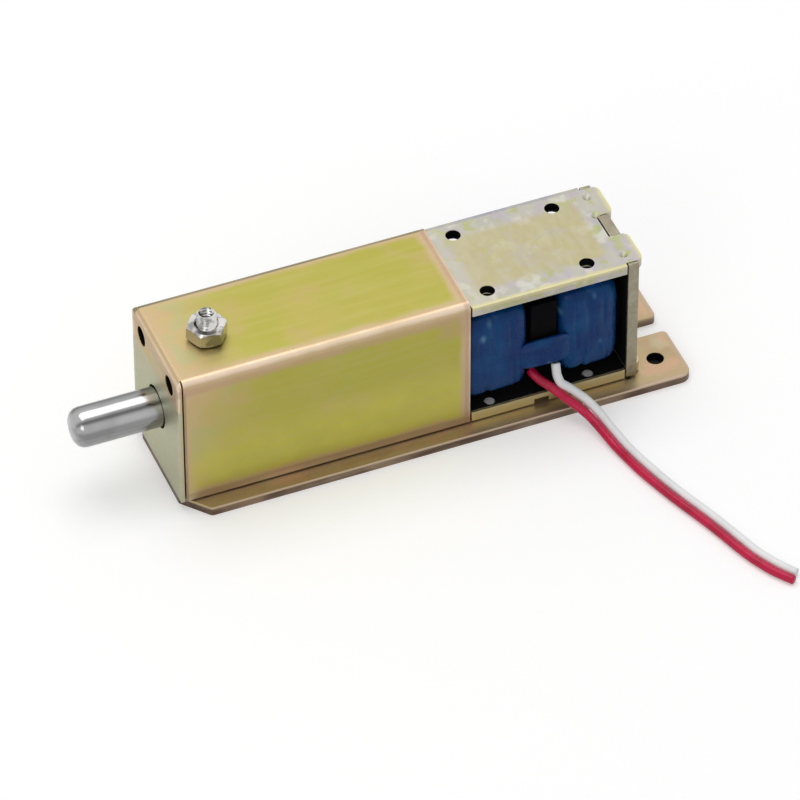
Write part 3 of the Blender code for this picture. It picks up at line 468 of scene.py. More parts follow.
def meshPiece(name, points, faces, material, smooth, weld=1e-7):
    # a mesh from an array of points and an array of quads, its seams and poles welded,
    # smooth over every edge that turns by less than so many degrees
    mesh = bpy.data.meshes.new(name)
    mesh.from_pydata(np.asarray(points).reshape(-1, 3).tolist(), [], np.asarray(faces).tolist())
    shape = bmesh.new()
    shape.from_mesh(mesh)
    bmesh.ops.remove_doubles(shape, verts=shape.verts, dist=weld)
    bmesh.ops.dissolve_degenerate(shape, edges=shape.edges, dist=weld)
    bmesh.ops.recalc_face_normals(shape, faces=shape.faces)
    shape.to_mesh(mesh)
    shape.free()
    mesh.shade_smooth()
    mesh.set_sharp_from_angle(angle=math.radians(smooth))
    piece = bpy.data.objects.new(name, mesh)
    bpy.context.scene.collection.objects.link(piece)
    mesh.materials.append(material)
    return piece


def finishPiece(piece, body, slot, *nodes):
    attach(piece, body)
    if nodes:
        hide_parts(*nodes)
    return piece


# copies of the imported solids: weld in metres, angles in degrees
copyLook = {"weld": 1e-6, "flat": 0.6, "smooth": 30, "bevelFrom": 40, "bevelSteps": 2}


def fineCopy(node, material, body, slot, bevel=0.0):
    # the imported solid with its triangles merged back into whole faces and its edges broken
    shape = bmesh.new()
    shape.from_mesh(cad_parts[node].data)
    bmesh.ops.remove_doubles(shape, verts=shape.verts, dist=copyLook["weld"])
    bmesh.ops.dissolve_limit(shape, angle_limit=math.radians(copyLook["flat"]), verts=shape.verts,
                             edges=shape.edges, use_dissolve_boundaries=False)
    mesh = bpy.data.meshes.new(node + "_fine")
    shape.to_mesh(mesh)
    shape.free()
    mesh.shade_smooth()
    mesh.set_sharp_from_angle(angle=math.radians(copyLook["smooth"]))
    piece = bpy.data.objects.new(node + "_fine", mesh)
    bpy.context.scene.collection.objects.link(piece)
    mesh.materials.append(material)
    if bevel:
        edges = piece.modifiers.new("edges", "BEVEL")
        edges.width = bevel
        edges.segments = copyLook["bevelSteps"]
        edges.limit_method = "ANGLE"
        edges.angle_limit = math.radians(copyLook["bevelFrom"])
    normals = piece.modifiers.new("normals", "WEIGHTED_NORMAL")
    normals.keep_sharp = True
    normals.weight = 100
    return finishPiece(piece, body, slot, node)


def smoothPath(route, count, steps=40):
    # a Catmull-Rom curve through the route's points, read at even steps of its length
    given = np.asarray(route, float)
    ends = np.vstack([2 * given[0] - given[1], given, 2 * given[-1] - given[-2]])
    a, b, c, d = (ends[i:len(ends) - 3 + i, None, :] for i in range(4))
    t = np.linspace(0, 1, steps, endpoint=False)[None, :, None]
    curve = 0.5 * (2 * b + (c - a) * t + (2 * a - 5 * b + 4 * c - d) * t ** 2
                   + (3 * b - a - 3 * c + d) * t ** 3)
    dense = np.vstack([curve.reshape(-1, 3), given[-1:]])
    lengths = np.concatenate([[0], np.cumsum(np.linalg.norm(np.diff(dense, axis=0), axis=1))])
    even = np.linspace(0, lengths[-1], count)
    return np.stack([np.interp(even, lengths, dense[:, k]) for k in range(3)], axis=1), lengths[-1]


def tubeSurface(path, radii, sides, guide=(0.2, 0.1, 0.97)):
    # a circle carried along the path: centre + radius * (side * cos + up * sin)
    tangent = np.gradient(path, axis=0)
    tangent /= np.linalg.norm(tangent, axis=1)[:, None]
    side = np.cross(tangent, np.asarray(guide))
    side /= np.linalg.norm(side, axis=1)[:, None]
    up = np.cross(side, tangent)
    angle = np.linspace(0, turn, sides, endpoint=False)[None, :, None]
    ring = side[:, None, :] * np.cos(angle) + up[:, None, :] * np.sin(angle)
    return path[:, None, :] + ring * np.asarray(radii)[:, None, None]


def closedTube(path, rings):
    # a tube's rings between two rings that have shrunk to the ends of its path
    start, end = (np.repeat(point[None, None, :], rings.shape[1], axis=1)
                  for point in (path[0], path[-1]))
    return np.concatenate([start, rings, end], axis=0)


# leads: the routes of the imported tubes, repeated from the cover's front face
leadLook = {
    "diameter": 1.8 * mm,
    "rings": 420,
    "sides": 28,
    "roundEnd": 0.12 * mm,
}
redRoute = [
    spot(73.1, -9.3, 8.7), spot(73.6, -10.5, 8.1), spot(74.4, -11.6, 7.4), spot(75.8, -13.1, 6.6),
    spot(77, -14.7, 5.8), spot(78.6, -16.4, 4.6), spot(80, -18.1, 3.6), spot(81.2, -20.1, 2.7),
    spot(82.1, -22.9, 1.9), spot(82.8, -26.2, 1.35), spot(83.5, -29.4, 1), spot(84.9, -35.7, 0.95),
    spot(86.6, -41.4, 0.95), spot(88.4, -46.8, 0.95), spot(90.3, -51.9, 0.95), spot(92.1, -57.2, 0.95),
    spot(93.8, -62.7, 0.95), spot(95, -66, 0.95), spot(96.8, -69.8, 0.95), spot(98.5, -72.4, 0.95),
    spot(99.8, -74.2, 0.95),
]
whiteRoute = [
    spot(77.7, -11.1, 10.4), spot(77.6, -11.7, 9.4), spot(77.5, -12.5, 8.4), spot(77.8, -13.6, 7.3),
    spot(78.9, -14.4, 6.5), spot(80.1, -15.3, 5.6), spot(81.7, -17.2, 4.5), spot(83.1, -19.7, 3.1),
    spot(84, -22.4, 1.9), spot(85.4, -29, 1), spot(86.9, -35.2, 0.95), spot(88.5, -40.8, 0.95),
    spot(90.3, -46.1, 0.95), spot(92.2, -51.3, 0.95), spot(94, -56.6, 0.95), spot(95.7, -62.1, 0.95),
    spot(96.8, -65.2, 0.95), spot(98.6, -68.8, 0.95), spot(100.1, -71.3, 0.95), spot(101.1, -72.6, 0.95),
]


def makeLead(name, route, material, node, slot):
    # a tube along the smooth curve through the route; at distance d from an end its radius is
    # less by r * (1 - sqrt(1 - (1 - d / r)^2)), where r is the round of the cut end
    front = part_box("cover")[0].x
    given = np.asarray(route) + np.array([front, 0, 0])
    path, length = smoothPath(given, leadLook["rings"])
    fromEnd = np.minimum(np.linspace(0, length, len(path)), np.linspace(length, 0, len(path)))
    inset = np.clip(1 - fromEnd / leadLook["roundEnd"], 0, 1)
    radii = leadLook["diameter"] / 2 - leadLook["roundEnd"] * (1 - np.sqrt(1 - inset ** 2))
    points = closedTube(path, tubeSurface(path, radii, leadLook["sides"]))
    lead = meshPiece(name, points, gridFaces(len(points), leadLook["sides"]), material, smooth=60)
    finishPiece(lead, "housing", slot, node)
    return lead


# windings: a rounded square tube whose ends roll in to the bobbin
windingLook = {
    "bore": 6.4 * mm,
    "corner": 7.0,
    "cornerGrowth": 0.7,
    "endRound": 2.8 * mm,
    "taper": 0.22 * mm,
    "layerStep": 0.10 * mm,
    "layers": 3,
    "layerWaver": (0.35, 0.2),
    "ripple": 0.05 * mm,
    "rippleWaves": [(7, 900), (3, -1400)],  # round the coil, and along each metre of it
    # a fold is its place as a share of the length, its angle, its depth and its width
    "folds": [(0.46, 2.5, 0.5 * mm, 0.05), (0.72, 2.8, 0.25 * mm, 0.03), (0.25, 3.0, 0.2 * mm, 0.03),
              (0.38, -2.2, 0.35 * mm, 0.045), (0.80, -2.7, 0.3 * mm, 0.03)],
    "foldLean": 0.03,
    "foldReach": 0.45,
    "columns": 240,
    "sideRows": 90,
    "endRows": 18,
    "faceRows": 6,
}


def makeWinding(name, node, material):
    # radius in direction v: size / (|cos v|^n + |sin v|^n)^(1/n), with n from 2 at the bore
    # to the corner value at the outside; the size follows a profile from bore to bore, less the
    # taper towards the ends, a step for each layer of tape, and a ripple that is a product of
    # waves; a fold is a groove that is deepest at its place along the coil and its angle round it
    low, high = (np.array(corner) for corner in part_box(node))
    centre, length = (low + high) / 2, high[0] - low[0]
    half = (high[1] - low[1]) / 2
    flatness = (high[2] - low[2]) / (high[1] - low[1])
    bore, rounding = windingLook["bore"], windingLook["endRound"]
    straight, faceRows = windingLook["sideRows"], windingLook["faceRows"]
    quarter = np.linspace(0, math.pi / 2, windingLook["endRows"])
    along = np.concatenate([
        np.zeros(faceRows), rounding * (1 - np.cos(quarter)),
        np.linspace(rounding, length - rounding, straight)[1:-1],
        length - rounding * (1 - np.cos(quarter[::-1])), np.full(faceRows, length)])
    roll = half - rounding * (1 - np.sin(quarter))
    face = np.linspace(bore, half - rounding, faceRows)
    size = np.concatenate([face, roll, np.full(straight - 2, half), roll[::-1], face[::-1]])
    v = np.linspace(0, turn, windingLook["columns"], endpoint=False)
    share = np.clip((size - bore) / (half - bore), 0, 1)[:, None]
    power = 2 + (windingLook["corner"] - 2) * share ** windingLook["cornerGrowth"]
    reach = (np.abs(np.cos(v)) ** power + np.abs(np.sin(v)) ** power) ** (-1 / power)
    part = (along / length)[:, None]
    once, twice = windingLook["layerWaver"]
    layer = (part * windingLook["layers"] + once * np.sin(v) + twice * np.cos(2 * v)) % 1.0
    wave = 1.0
    for around, onward in windingLook["rippleWaves"]:
        wave = wave * np.sin(around * v + along[:, None] * onward)
    sunk = windingLook["taper"] * (1 - np.sin(part * math.pi)) + windingLook["layerStep"] * layer
    sunk = sunk + windingLook["ripple"] * (1 + wave)
    for place, angle, depth, width in windingLook["folds"]:
        turned = (v - angle + math.pi) % turn - math.pi
        away = (part - place - windingLook["foldLean"] * turned) / width
        sunk = sunk + depth * np.exp(-away ** 2 - (turned / windingLook["foldReach"]) ** 2)
    radius = size[:, None] * reach - share ** 4 * sunk
    tall = 1 + (flatness - 1) * share
    points = np.stack([np.broadcast_to(low[0] + along[:, None], radius.shape),
                       centre[1] + radius * np.cos(v), centre[2] + radius * tall * np.sin(v)], axis=2)
    faces = gridFaces(len(points), windingLook["columns"], closeRows=True)
    piece = meshPiece(name, points, faces, material, smooth=50)
    return finishPiece(piece, "housing", "taped_winding", node)


# pad of tape over the lead joints
padLook = {"power": 5.0, "rows": 64, "columns": 128, "lap": 1.0 * mm, "sink": 0.5 * mm,
           "wrinkle": 0.12 * mm, "wrinkleWaves": 9, "wrinkleSway": (2, 3)}


def makeLeadTape(material):
    # a superellipsoid in the node's box, with low wrinkles pressed into its outer side,
    # whose ends sink into the windings with the fourth power of their distance from its middle
    low, high = (np.array(corner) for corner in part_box("lead_tape"))
    centre, half = (low + high) / 2, (high - low) / 2 + np.array([padLook["lap"], 0, 0])
    u = np.linspace(-math.pi / 2, math.pi / 2, padLook["rows"])[:, None]
    v = np.linspace(0, turn, padLook["columns"], endpoint=False)[None, :]

    def rounded(value):
        return np.sign(value) * np.abs(value) ** (2 / padLook["power"])

    x = rounded(np.cos(u)) * rounded(np.cos(v))
    z = rounded(np.cos(u)) * rounded(np.sin(v))
    y = rounded(np.sin(u)) + 0 * v
    outer = np.clip(-y, 0, 1)
    sway, swayWaves = padLook["wrinkleSway"]
    wave = np.sin(padLook["wrinkleWaves"] * z + sway * np.sin(swayWaves * x))
    pressed = padLook["wrinkle"] * outer * (0.5 + 0.5 * wave) + padLook["sink"] * outer * x ** 4
    points = np.stack([centre[0] + half[0] * x, centre[1] + half[1] * y + pressed,
                       centre[2] + half[2] * z], axis=2)
    faces = gridFaces(padLook["rows"], padLook["columns"])
    piece = meshPiece("leadTapePad", points, faces, material, smooth=60)
    return finishPiece(piece, "housing", "blue_tape", "lead_tape")


# stud: a screw thread, a triangular ridge that climbs one pitch each turn
studLook = {"pitch": 0.7 * mm, "depth": 0.32 * mm, "columns": 48, "rowsPerPitch": 10,
            "chamfer": 0.5 * mm, "dish": 0.1 * mm}


def threadRidge(height, angle, pitch):
    # 0 at a groove and 1 at a crest
    return np.abs(((height / pitch - angle / turn) % 1.0) * 2 - 1)


def makeStud(material):
    # radius at height h and angle v: the crest's, less the thread's depth times 1 minus the ridge,
    # and near the ends no more than a chamfer that opens as fast as the height grows
    low, high = (np.array(corner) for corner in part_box("cover_stud"))
    centre, radius = (low + high) / 2, (high[0] - low[0]) / 2
    length = high[2] - low[2]
    rows = int(length / studLook["pitch"] * studLook["rowsPerPitch"])
    height = np.linspace(0, length, rows)[:, None]
    v = np.linspace(0, turn, studLook["columns"], endpoint=False)[None, :]
    crest = radius - studLook["depth"] * (1 - threadRidge(height, v, studLook["pitch"]))
    fromEnd = np.minimum(height, length - height)
    chamfered = np.minimum(crest, radius - studLook["chamfer"] + fromEnd)
    points = np.stack([centre[0] + chamfered * np.cos(v), centre[1] + chamfered * np.sin(v),
                       low[2] + height + 0 * v], axis=2)
    foot, top = (np.repeat(points[k:k + 1].mean(axis=1, keepdims=True), studLook["columns"], axis=1)
                 for k in (0, -1))
    top = top - np.array([0, 0, studLook["dish"]])
    points = np.concatenate([foot, points, top], axis=0)
    faces = gridFaces(len(points), studLook["columns"])
    piece = meshPiece("coverStudThread", points, faces, material, smooth=40)
    return finishPiece(piece, "housing", "bright_steel", "cover_stud")


# nut: a chamfered hexagon, turned as it stands on the cover
nutLook = {"turn": math.radians(-7), "flats": 7.0 * mm, "face": 0.96, "cone": math.radians(60),
           "bore": 2.05 * mm, "bevel": 0.35 * mm, "columns": 240,
           "rows": np.array([0, 0.05, 0.15, 0.3, 0.5, 0.8]) * mm}  # heights from each face


def makeNut(material):
    # in direction v the wall is the hexagon's flat, cut back by a 30 degree cone near both faces
    low, high = (np.array(corner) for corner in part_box("cover_nut"))
    centre, tall = (low + high) / 2, high[2] - low[2]
    v = np.linspace(0, turn, nutLook["columns"], endpoint=False)
    inFlat = (v - nutLook["turn"]) % (math.pi / 3) - math.pi / 6
    hexagon = nutLook["flats"] / 2 / np.cos(inFlat)
    height = np.concatenate([nutLook["rows"], tall - nutLook["rows"][::-1]])
    fromFace = np.minimum(height, tall - height)[:, None]
    cone = nutLook["flats"] / 2 * nutLook["face"] + fromFace * math.tan(nutLook["cone"])
    wall = np.minimum(hexagon[None, :], cone)
    bevel = nutLook["bevel"]
    bore = np.full((1, len(v)), nutLook["bore"])
    radius = np.concatenate([bore, bore + bevel, wall, bore + bevel, bore])
    heights = np.concatenate([[bevel, 0], height, [height[-1], height[-1] - bevel]])
    points = np.stack([centre[0] + radius * np.cos(v), centre[1] + radius * np.sin(v),
                       low[2] + heights[:, None] + 0 * radius], axis=2)
    faces = gridFaces(len(points), nutLook["columns"], closeRows=True)
    piece = meshPiece("coverNutHex", points, faces, material, smooth=25)
    return finishPiece(piece, "housing", "bright_steel", "cover_nut")


# return spring: a round wire on a helix, with one closed turn at each end
springLook = {"wire": 0.7 * mm, "turns": 9, "closedPitch": 1.1, "ringsPerTurn": 40, "sides": 12,
              "room": 0.02 * mm, "squashed": 0.635}


def boltHeight():
    low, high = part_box("lock_bolt")
    return (low.z + high.z) / 2


def makeSpring(material):
    # a circle carried along a helix about the bolt's axis; its pitch is near the wire's
    # thickness for the first and the last turn, and even in between
    low, high = (np.array(corner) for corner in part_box("return_spring"))
    centre = (low + high) / 2
    wire = springLook["wire"]
    mean = (high[2] - low[2]) / 2 - wire / 2 - springLook["room"]
    t = np.linspace(0, springLook["turns"], springLook["turns"] * springLook["ringsPerTurn"] + 1)
    closed = wire * springLook["closedPitch"]
    total = high[0] - low[0] - wire
    openPitch = (total - 2 * closed) / (springLook["turns"] - 2)
    opened = np.clip(t - 1, 0, springLook["turns"] - 2)
    along = opened * openPitch + (t - opened) * closed
    path = np.stack([low[0] + wire / 2 + along, centre[1] + mean * np.sin(turn * t),
                     boltHeight() + mean * np.cos(turn * t)], axis=1)
    radii = np.full(len(path), wire / 2)
    points = closedTube(path, tubeSurface(path, radii, springLook["sides"], guide=(1, 0, 0)))
    faces = gridFaces(len(points), springLook["sides"])
    piece = meshPiece("returnSpringCoil", points, faces, material, smooth=60)
    finishPiece(piece, "housing", "core_steel", "return_spring")
    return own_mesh(piece)


# finishes of the plated sheets, with colours as light sees them
# a stain is its noise scale, its shift, the noise values where it starts and is full, its share
# and its colour; a panel or an overlay is its insets from the low and the high side of the node's
# box in X, Y and Z, its soft width, its share and its colour; overlays lie over the edge bands
beyond = -9 * mm  # an inset that leaves a side open
outside = (beyond, beyond)
coverFinish = {
    # the pale rim is partly a painted highlight along the top fold
    "base": (0.395, 0.365, 0.070), "patch": (0.43, 0.37, 0.10), "edge": (0.52, 0.38, 0.23),
    "rim": (0.77, 0.61, 0.47), "grainColour": (0.48, 0.45, 0.19), "grainShare": 0.25,
    "front": (0.53, 0.385, 0.21), "frontReach": 18 * mm, "frontShare": 0.95, "frontFall": 0.30,
    "stains": [(90.0, 11, 0.52, 0.72, 0.55, (0.48, 0.34, 0.17)),
               (70.0, 29, 0.58, 0.75, 0.5, (0.36, 0.38, 0.10))],
    "frontStains": [(150.0, 5, 0.48, 0.62, 0.6, (0.40, 0.42, 0.25)),
                    (120.0, 17, 0.50, 0.66, 0.8, (0.56, 0.37, 0.26))],
    # lower part of the sides
    "panels": [((outside, outside, (beyond, 12 * mm)), 9 * mm, 0.9, (0.50, 0.465, 0.085))],
    "overlays": [
        # foot of the sides
        ((outside, outside, (beyond, 28.4 * mm)), 0.5 * mm, 0.75, (0.37, 0.28, 0.18)),
        # seam between the front flap and the sides
        (((0.9 * mm, 57.8 * mm), outside, (beyond, 2.4 * mm)), 0.25 * mm, 0.7, (0.25, 0.17, 0.12)),
        # far edge of the top
        ((outside, (22.8 * mm, beyond), (29.0 * mm, beyond)), 0.4 * mm, 0.85, (0.17, 0.17, 0.10)),
        # pink band under the top fold, and its wider end at the rear
        ((outside, outside, (26.6 * mm, 1.5 * mm)), 0.6 * mm, 0.55, (0.47, 0.28, 0.22)),
        (((52.0 * mm, beyond), outside, (22.0 * mm, 1.3 * mm)), 2.6 * mm, 0.7, (0.46, 0.29, 0.20)),
        # rear edge
        (((58.1 * mm, beyond), outside, outside), 0.5 * mm, 0.6, (0.42, 0.27, 0.21)),
        # front flap below its tanned top
        (((beyond, 58.6 * mm), outside, (beyond, 7 * mm)), 0.3 * mm, 0.9, (0.42, 0.43, 0.31)),
    ],
    "cloudScale": 55.0, "waver": 2.4 * mm, "bandStart": 1.3 * mm, "bandEnd": 3.0 * mm,
    "grain": (0.06, 1, 1), "metallic": 0.95, "roughness": (0.38, 0.5), "endScale": 2.4,
}
yokeFinish = {
    "base": (0.46, 0.44, 0.38), "patch": (0.42, 0.41, 0.36), "edge": (0.60, 0.55, 0.31),
    "rim": (0.70, 0.66, 0.40), "grainColour": (0.50, 0.49, 0.40), "grainShare": 0.3,
    "front": (0.52, 0.49, 0.40), "frontReach": 14 * mm, "frontShare": 0.6, "frontFall": 0.0,
    "stains": [(230.0, 7, 0.46, 0.62, 0.75, (0.44, 0.39, 0.45)),
               (330.0, 19, 0.52, 0.64, 0.8, (0.40, 0.42, 0.17)),
               (260.0, 37, 0.54, 0.68, 0.7, (0.60, 0.58, 0.52))],
    "frontStains": [],
    # middle of the top
    "panels": [(((6 * mm, 5 * mm), (3 * mm, 3 * mm), (9 * mm, beyond)), 2.5 * mm, 0.85,
                (0.45, 0.395, 0.205))],
    "overlays": [
        # strip along the near foot
        ((outside, (beyond, 22 * mm), (beyond, 26.8 * mm)), 0.2 * mm, 0.85, (0.62, 0.54, 0.27)),
        # far edge of the top
        ((outside, (23.4 * mm, beyond), (28.2 * mm, beyond)), 0.35 * mm, 1.0, (0.33, 0.33, 0.37)),
    ],
    "cloudScale": 120.0, "waver": 1.2 * mm, "bandStart": 0.3 * mm, "bandEnd": 1.2 * mm,
    "grain": (1, 0.3, 1), "metallic": 0.95, "roughness": (0.36, 0.5), "endScale": 1.0,
}
endFinish = dict(yokeFinish, base=(0.27, 0.24, 0.17), patch=(0.31, 0.27, 0.19),
                 edge=(0.28, 0.25, 0.17), rim=(0.34, 0.31, 0.20),
                 frontShare=0.0, panels=[], overlays=[],
                 stains=[(260.0, 7, 0.5, 0.7, 0.6, (0.36, 0.33, 0.27)),
                         (420.0, 19, 0.56, 0.7, 0.5, (0.20, 0.17, 0.12))])
plateFinish = {
    "base": (0.42, 0.31, 0.18), "patch": (0.46, 0.37, 0.20), "edge": (0.44, 0.33, 0.22),
    "rim": (0.52, 0.40, 0.30), "grainColour": (0.50, 0.43, 0.30), "grainShare": 0.25,
    "front": (0.46, 0.37, 0.20), "frontReach": 20 * mm, "frontShare": 0.4, "frontFall": 0.0,
    "stains": [(130.0, 13, 0.44, 0.64, 0.7, (0.56, 0.35, 0.23)),
               (170.0, 23, 0.50, 0.72, 0.5, (0.48, 0.45, 0.31)),
               (210.0, 31, 0.54, 0.78, 0.5, (0.34, 0.27, 0.16))],
    "frontStains": [],
    "panels": [],
    "overlays": [
        # cut edge all round
        ((outside, outside, (0.02 * mm, 0.40 * mm)), 0.12 * mm, 1.0, (0.105, 0.065, 0.050)),
        # strip in the shade beside the coil
        (((91.6 * mm, 11.5 * mm), (2.7 * mm, 26.9 * mm), outside), 0.45 * mm, 1.0,
         (0.02, 0.014, 0.01)),
    ],
    "cloudScale": 80.0, "waver": 0.8 * mm, "bandStart": 0.4 * mm, "bandEnd": 1.4 * mm,
    "grain": (0.06, 1, 1), "metallic": 0.95, "roughness": (0.38, 0.5), "endScale": 1.0,
}
# painted shade of the coil bay, near black from a skin's depth under the faces that stay plated;
# its shine is the sheets' too
paintedShade = {"colour": (0.004, 0.004, 0.004), "roughness": 0.7, "shine": 0.08, "sheet": 2.2 * mm,
          "rim": 0.5 * mm, "skin": 0.1 * mm, "footGap": 0.66 * mm}
# places of the holes whose walls are painted dark as shade, with the floor's painted shadow under the
# ear holes
holes = {"flapSide": 7.4 * mm, "flapDrop": 4.0 * mm, "flapHalf": 2.4 * mm,
         "earSide": 8.93 * mm, "earInset": 5.1 * mm, "earHalf": 2.0 * mm,
         "tapSide": 8.55 * mm, "tapFront": 9.4 * mm, "tapRear": 7.2 * mm, "tapHalf": 1.9 * mm}


def holeBox(x, y, z, half, axis):
    # a box round a hole that starts just under the outer face, so that only its wall is in it
    low = [x - half, y - half, z - half]
    high = [x + half, y + half, z + half]
    skin = paintedShade["skin"]
    if axis == "X":
        low[0] = x + skin
    else:
        high[2] = z - skin
    return tuple(low), tuple(high)


def yokeInside():
    # the boxes of painted shade: the inside of the bay, then the walls of the four tapped holes in the
    # yoke's top
    low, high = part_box("yoke")
    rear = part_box("yoke_end_plate")[0].x
    sheet, rim, skin = paintedShade["sheet"], paintedShade["rim"], paintedShade["skin"]
    bay = ((low.x + sheet - skin, low.y + rim, low.z + paintedShade["footGap"]),
           (rear + skin, high.y - rim, high.z - sheet + skin))
    walls = [holeBox(x, side * holes["tapSide"], high.z, holes["tapHalf"], "Z")
             for x in (low.x + holes["tapFront"], rear - holes["tapRear"]) for side in (-1, 1)]
    return [bay] + walls


def coverHoles():
    # the walls of the two holes in the front flap, near its top corners, painted dark as shade
    low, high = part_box("cover")
    height = high.z - holes["flapDrop"]
    return [holeBox(low.x, side * holes["flapSide"], height, holes["flapHalf"], "X") for side in (-1, 1)]


def plateHoles():
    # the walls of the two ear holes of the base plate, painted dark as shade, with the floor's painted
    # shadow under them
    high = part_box("base_plate")[1]
    x = high.x - holes["earInset"]
    return [holeBox(x, side * holes["earSide"], high.z, holes["earHalf"], "Z") for side in (-1, 1)]


# bare and plated steels; a band on the bolt, a painted reflection of dark surroundings, is its angle,
# its half width and its share
metals = {
    "brightZinc": {
        "colour": (0.70, 0.69, 0.67), "tint": (0.54, 0.53, 0.51), "streak": (0.10, 0.10, 0.095),
        "grain": (1, 1, 1), "streakScale": 260.0, "streakRange": (0.50, 0.62), "streakShare": 0.6,
        "metallic": 1.0, "roughness": (0.16, 0.26), "bump": 0.06,
    },
    "boltSteel": {
        "colour": (0.42, 0.42, 0.425), "tint": (0.36, 0.36, 0.365), "streak": (0.08, 0.08, 0.08),
        "grain": (0.02, 1, 1), "streakScale": 230.0, "streakRange": (0.46, 0.62), "streakShare": 0.5,
        "metallic": 1.0, "roughness": (0.13, 0.19), "bump": 0.06,
        "reflectionBands": [(52, 17, 0.95), (116, 26, 0.95), (-42, 16, 0.7)],
    },
    "plainSteel": {
        "colour": (0.45, 0.45, 0.47), "tint": (0.36, 0.36, 0.38), "streak": (0.2, 0.2, 0.2),
        "grain": (0.04, 1, 1), "streakScale": 500.0, "streakRange": (0.5, 0.7), "streakShare": 0.4,
        "metallic": 1.0, "roughness": (0.3, 0.5), "bump": 0.15,
    },
    "castGrey": {
        "colour": (0.30, 0.31, 0.32), "tint": (0.24, 0.25, 0.26), "streak": (0.2, 0.2, 0.2),
        "grain": (1, 1, 1), "streakScale": 700.0, "streakRange": (0.5, 0.7), "streakShare": 0.4,
        "metallic": 0.8, "roughness": (0.5, 0.75), "bump": 0.3,
    },
    "screwZinc": {
        "colour": (0.92, 0.91, 0.88), "tint": (0.80, 0.79, 0.76), "streak": (0.5, 0.5, 0.48),
        "grain": (1, 1, 1), "streakScale": 900.0, "streakRange": (0.5, 0.7), "streakShare": 0.4,
        "metallic": 0.3, "roughness": (0.4, 0.6), "bump": 0.1,
    },
}
plastics = {
    "blackPlastic": {
        "colour": (0.003, 0.003, 0.004), "cloud": (0.005, 0.005, 0.005),
        "roughness": (0.4, 0.6), "shine": 0.02, "bump": 0.1,
    },
    "darkNylon": {
        "colour": (0.03, 0.03, 0.032), "cloud": (0.022, 0.022, 0.024),
        "roughness": (0.5, 0.7), "shine": 0.4, "bump": 0.1,
    },
    "redPvc": {
        "colour": (0.62, 0.006, 0.066), "cloud": (0.44, 0.003, 0.040),
        "roughness": (0.22, 0.36), "shine": 0.3, "bump": 0.1,
    },
    "whitePvc": {
        "colour": (0.95, 0.96, 0.96), "cloud": (0.88, 0.90, 0.90),
        "roughness": (0.3, 0.45), "shine": 0.4, "bump": 0.1,
    },
}


def makePieces():
    inside = yokeInside()
    coverZinc = makeChromate("coverZinc", coverFinish, *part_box("cover"), coverHoles())
    yokeZinc = makeChromate("yokeZinc", yokeFinish, *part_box("yoke"), inside)
    endZinc = makeChromate("endZinc", endFinish, *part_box("yoke"), inside)
    plateZinc = makeChromate("plateZinc", plateFinish, *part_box("base_plate"), plateHoles())
    brightZinc, boltSteel, plainSteel, castGrey, screwZinc = (
        makeMetal(name, look, boltHeight()) for name, look in metals.items())
    blackPlastic, darkNylon, redPvc, whitePvc = (
        makePlastic(name, look) for name, look in plastics.items())
    tape = makeTape("blueTape")
    makeLead("redLead", redRoute, redPvc, "red_lead", "red_pvc")
    makeLead("whiteLead", whiteRoute, whitePvc, "white_lead", "white_pvc")
    print("leads laid")
    fineCopy("cover", coverZinc, "housing", "cover_zinc", 0.10 * mm)
    fineCopy("yoke", yokeZinc, "housing", "yoke_zinc", 0.15 * mm)
    fineCopy("yoke_end_plate", endZinc, "housing", "yoke_zinc", 0.12 * mm)
    fineCopy("base_plate", plateZinc, "housing", "plate_zinc", 0.15 * mm)
    fineCopy("guide_block", castGrey, "housing", "cast_block")
    print("plated sheets finished")
    fineCopy("lock_bolt", boltSteel, "bolt", "polished_steel")
    fineCopy("plunger", plainSteel, "bolt", "core_steel")
    fineCopy("coupling_pin", boltSteel, "bolt", "polished_steel", 0.1 * mm)
    fineCopy("bobbin", blackPlastic, "housing", "black_plastic", 0.1 * mm)
    fineCopy("fixed_core", plainSteel, "housing", "core_steel")
    fineCopy("core_pad", darkNylon, "housing", "dark_nylon")
    fineCopy("stop_washer", darkNylon, "housing", "dark_nylon", 0.15 * mm)
    fineCopy("spring_seat", plainSteel, "housing", "core_steel", 0.1 * mm)
    for node in sorted(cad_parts):
        if "_screw_" in node:
            fineCopy(node, screwZinc, "housing", "bright_steel")
    print("turned pieces finished")
    makeWinding("frontWindingTape", "front_winding", tape)
    makeWinding("rearWindingTape", "rear_winding", tape)
    makeLeadTape(tape)
    makeStud(brightZinc)
    makeNut(brightZinc)
    makeSpring(plainSteel)
    print("coil, fasteners and spring made")


# studio: a pale floor, one large soft lamp overhead, a weak one at the side and a white surround
studio = {
    "floorSize": 6.0,
    "floorColour": (0.86, 0.86, 0.86),
    "floorRoughness": 0.9,
    "floorGlow": 0.30,
    "holeShadowColour": (0.01, 0.01, 0.01),
    "holeSoft": 0.1 * mm,
    "worldStrength": 0.45,
    "lamps": [
        {"name": "topLamp", "place": (-0.05, 0.22, 1.05), "size": 0.8, "power": 4.4},
        {"name": "sideLamp", "place": (-0.7, -0.7, 0.6), "size": 0.5, "power": 1.2},
    ],
}


def seenShare(tree):
    # 1 for rays from the camera and for rays that gloss or glass sends on
    rays = tree.nodes.new("ShaderNodeLightPath")
    seen = greater(tree, rays.outputs["Is Camera Ray"], rays.outputs["Is Glossy Ray"])
    return greater(tree, seen, rays.outputs["Is Transmission Ray"])


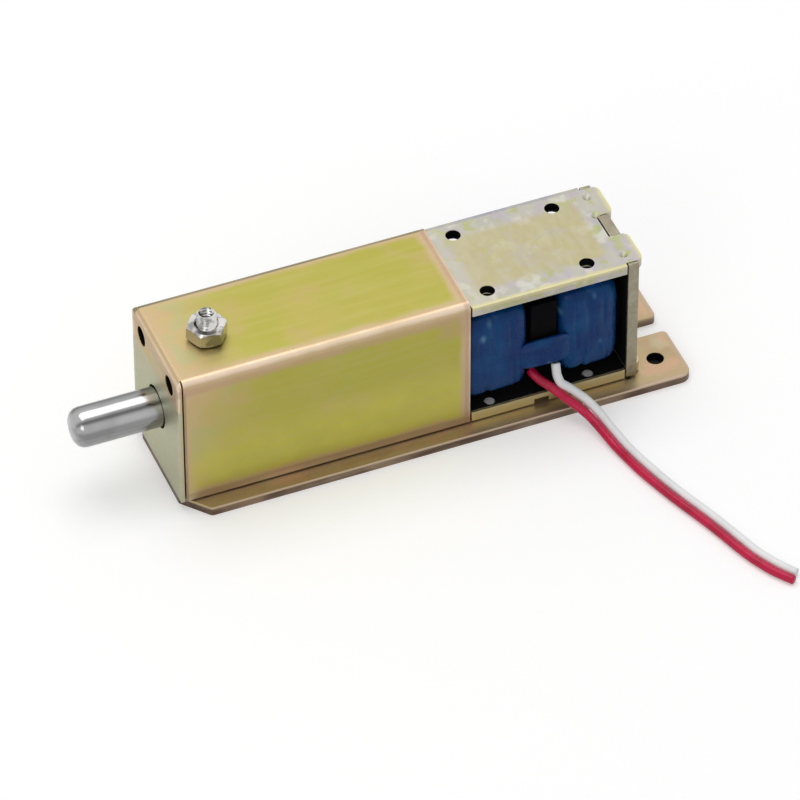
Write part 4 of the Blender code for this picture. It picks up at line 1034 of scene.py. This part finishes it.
def makeFloor():
    # pale, with a faint glow of its own that only seen rays pick up, and a painted shadow under the ear
    # holes
    material, tree, shader = newMaterial("floorWhite")
    shader.inputs["Roughness"].default_value = studio["floorRoughness"]
    shades = [insideShare(tree, (low[0], low[1], -mm), (high[0], high[1], mm), studio["holeSoft"])
              for low, high in plateHoles()]
    bare = minus(tree, 1.0, greater(tree, *shades))
    floorColour = mixColour(tree, bare, studio["holeShadowColour"], studio["floorColour"])
    tree.links.new(floorColour, shader.inputs["Base Color"])
    glow = addNode(tree, "ShaderNodeEmission", (1, 1, 1))
    strength = times(tree, times(tree, seenShare(tree), bare), studio["floorGlow"])
    tree.links.new(strength, glow.inputs["Strength"])
    added = addNode(tree, "ShaderNodeAddShader", shader.outputs[0], glow.outputs[0])
    tree.links.new(added.outputs[0], tree.nodes["Material Output"].inputs["Surface"])
    half = studio["floorSize"] / 2
    corners = [(-half, -half, 0), (half, -half, 0), (half, half, 0), (-half, half, 0)]
    mesh = bpy.data.meshes.new("floor")
    mesh.from_pydata(corners, [], [(0, 1, 2, 3)])
    mesh.materials.append(material)
    floor = bpy.data.objects.new("floor", mesh)
    bpy.context.scene.collection.objects.link(floor)


def makeLamps():
    for lamp in studio["lamps"]:
        data = bpy.data.lights.new(lamp["name"], "AREA")
        data.size = lamp["size"]
        data.energy = lamp["power"]
        light = bpy.data.objects.new(lamp["name"], data)
        light.location = lamp["place"]
        light.rotation_mode = "QUATERNION"
        light.rotation_quaternion = (-Vector(lamp["place"])).to_track_quat("-Z", "Y")
        bpy.context.scene.collection.objects.link(light)


def makeWorld():
    # white where it is seen, and weaker where it only lights the object
    world = bpy.data.worlds.new("studioWorld")
    world.use_nodes = True
    bpy.context.scene.world = world
    tree = world.node_tree
    strength = ramp(tree, seenShare(tree), 0.0, 1.0, studio["worldStrength"], 1.0)
    background = tree.nodes["Background"]
    background.inputs["Color"].default_value = (1, 1, 1, 1)
    tree.links.new(strength, background.inputs["Strength"])
    bpy.context.scene.view_settings.view_transform = "Standard"


makeCamera()
print("camera set")
makePieces()
makeFloor()
makeLamps()
makeWorld()
print("studio ready")
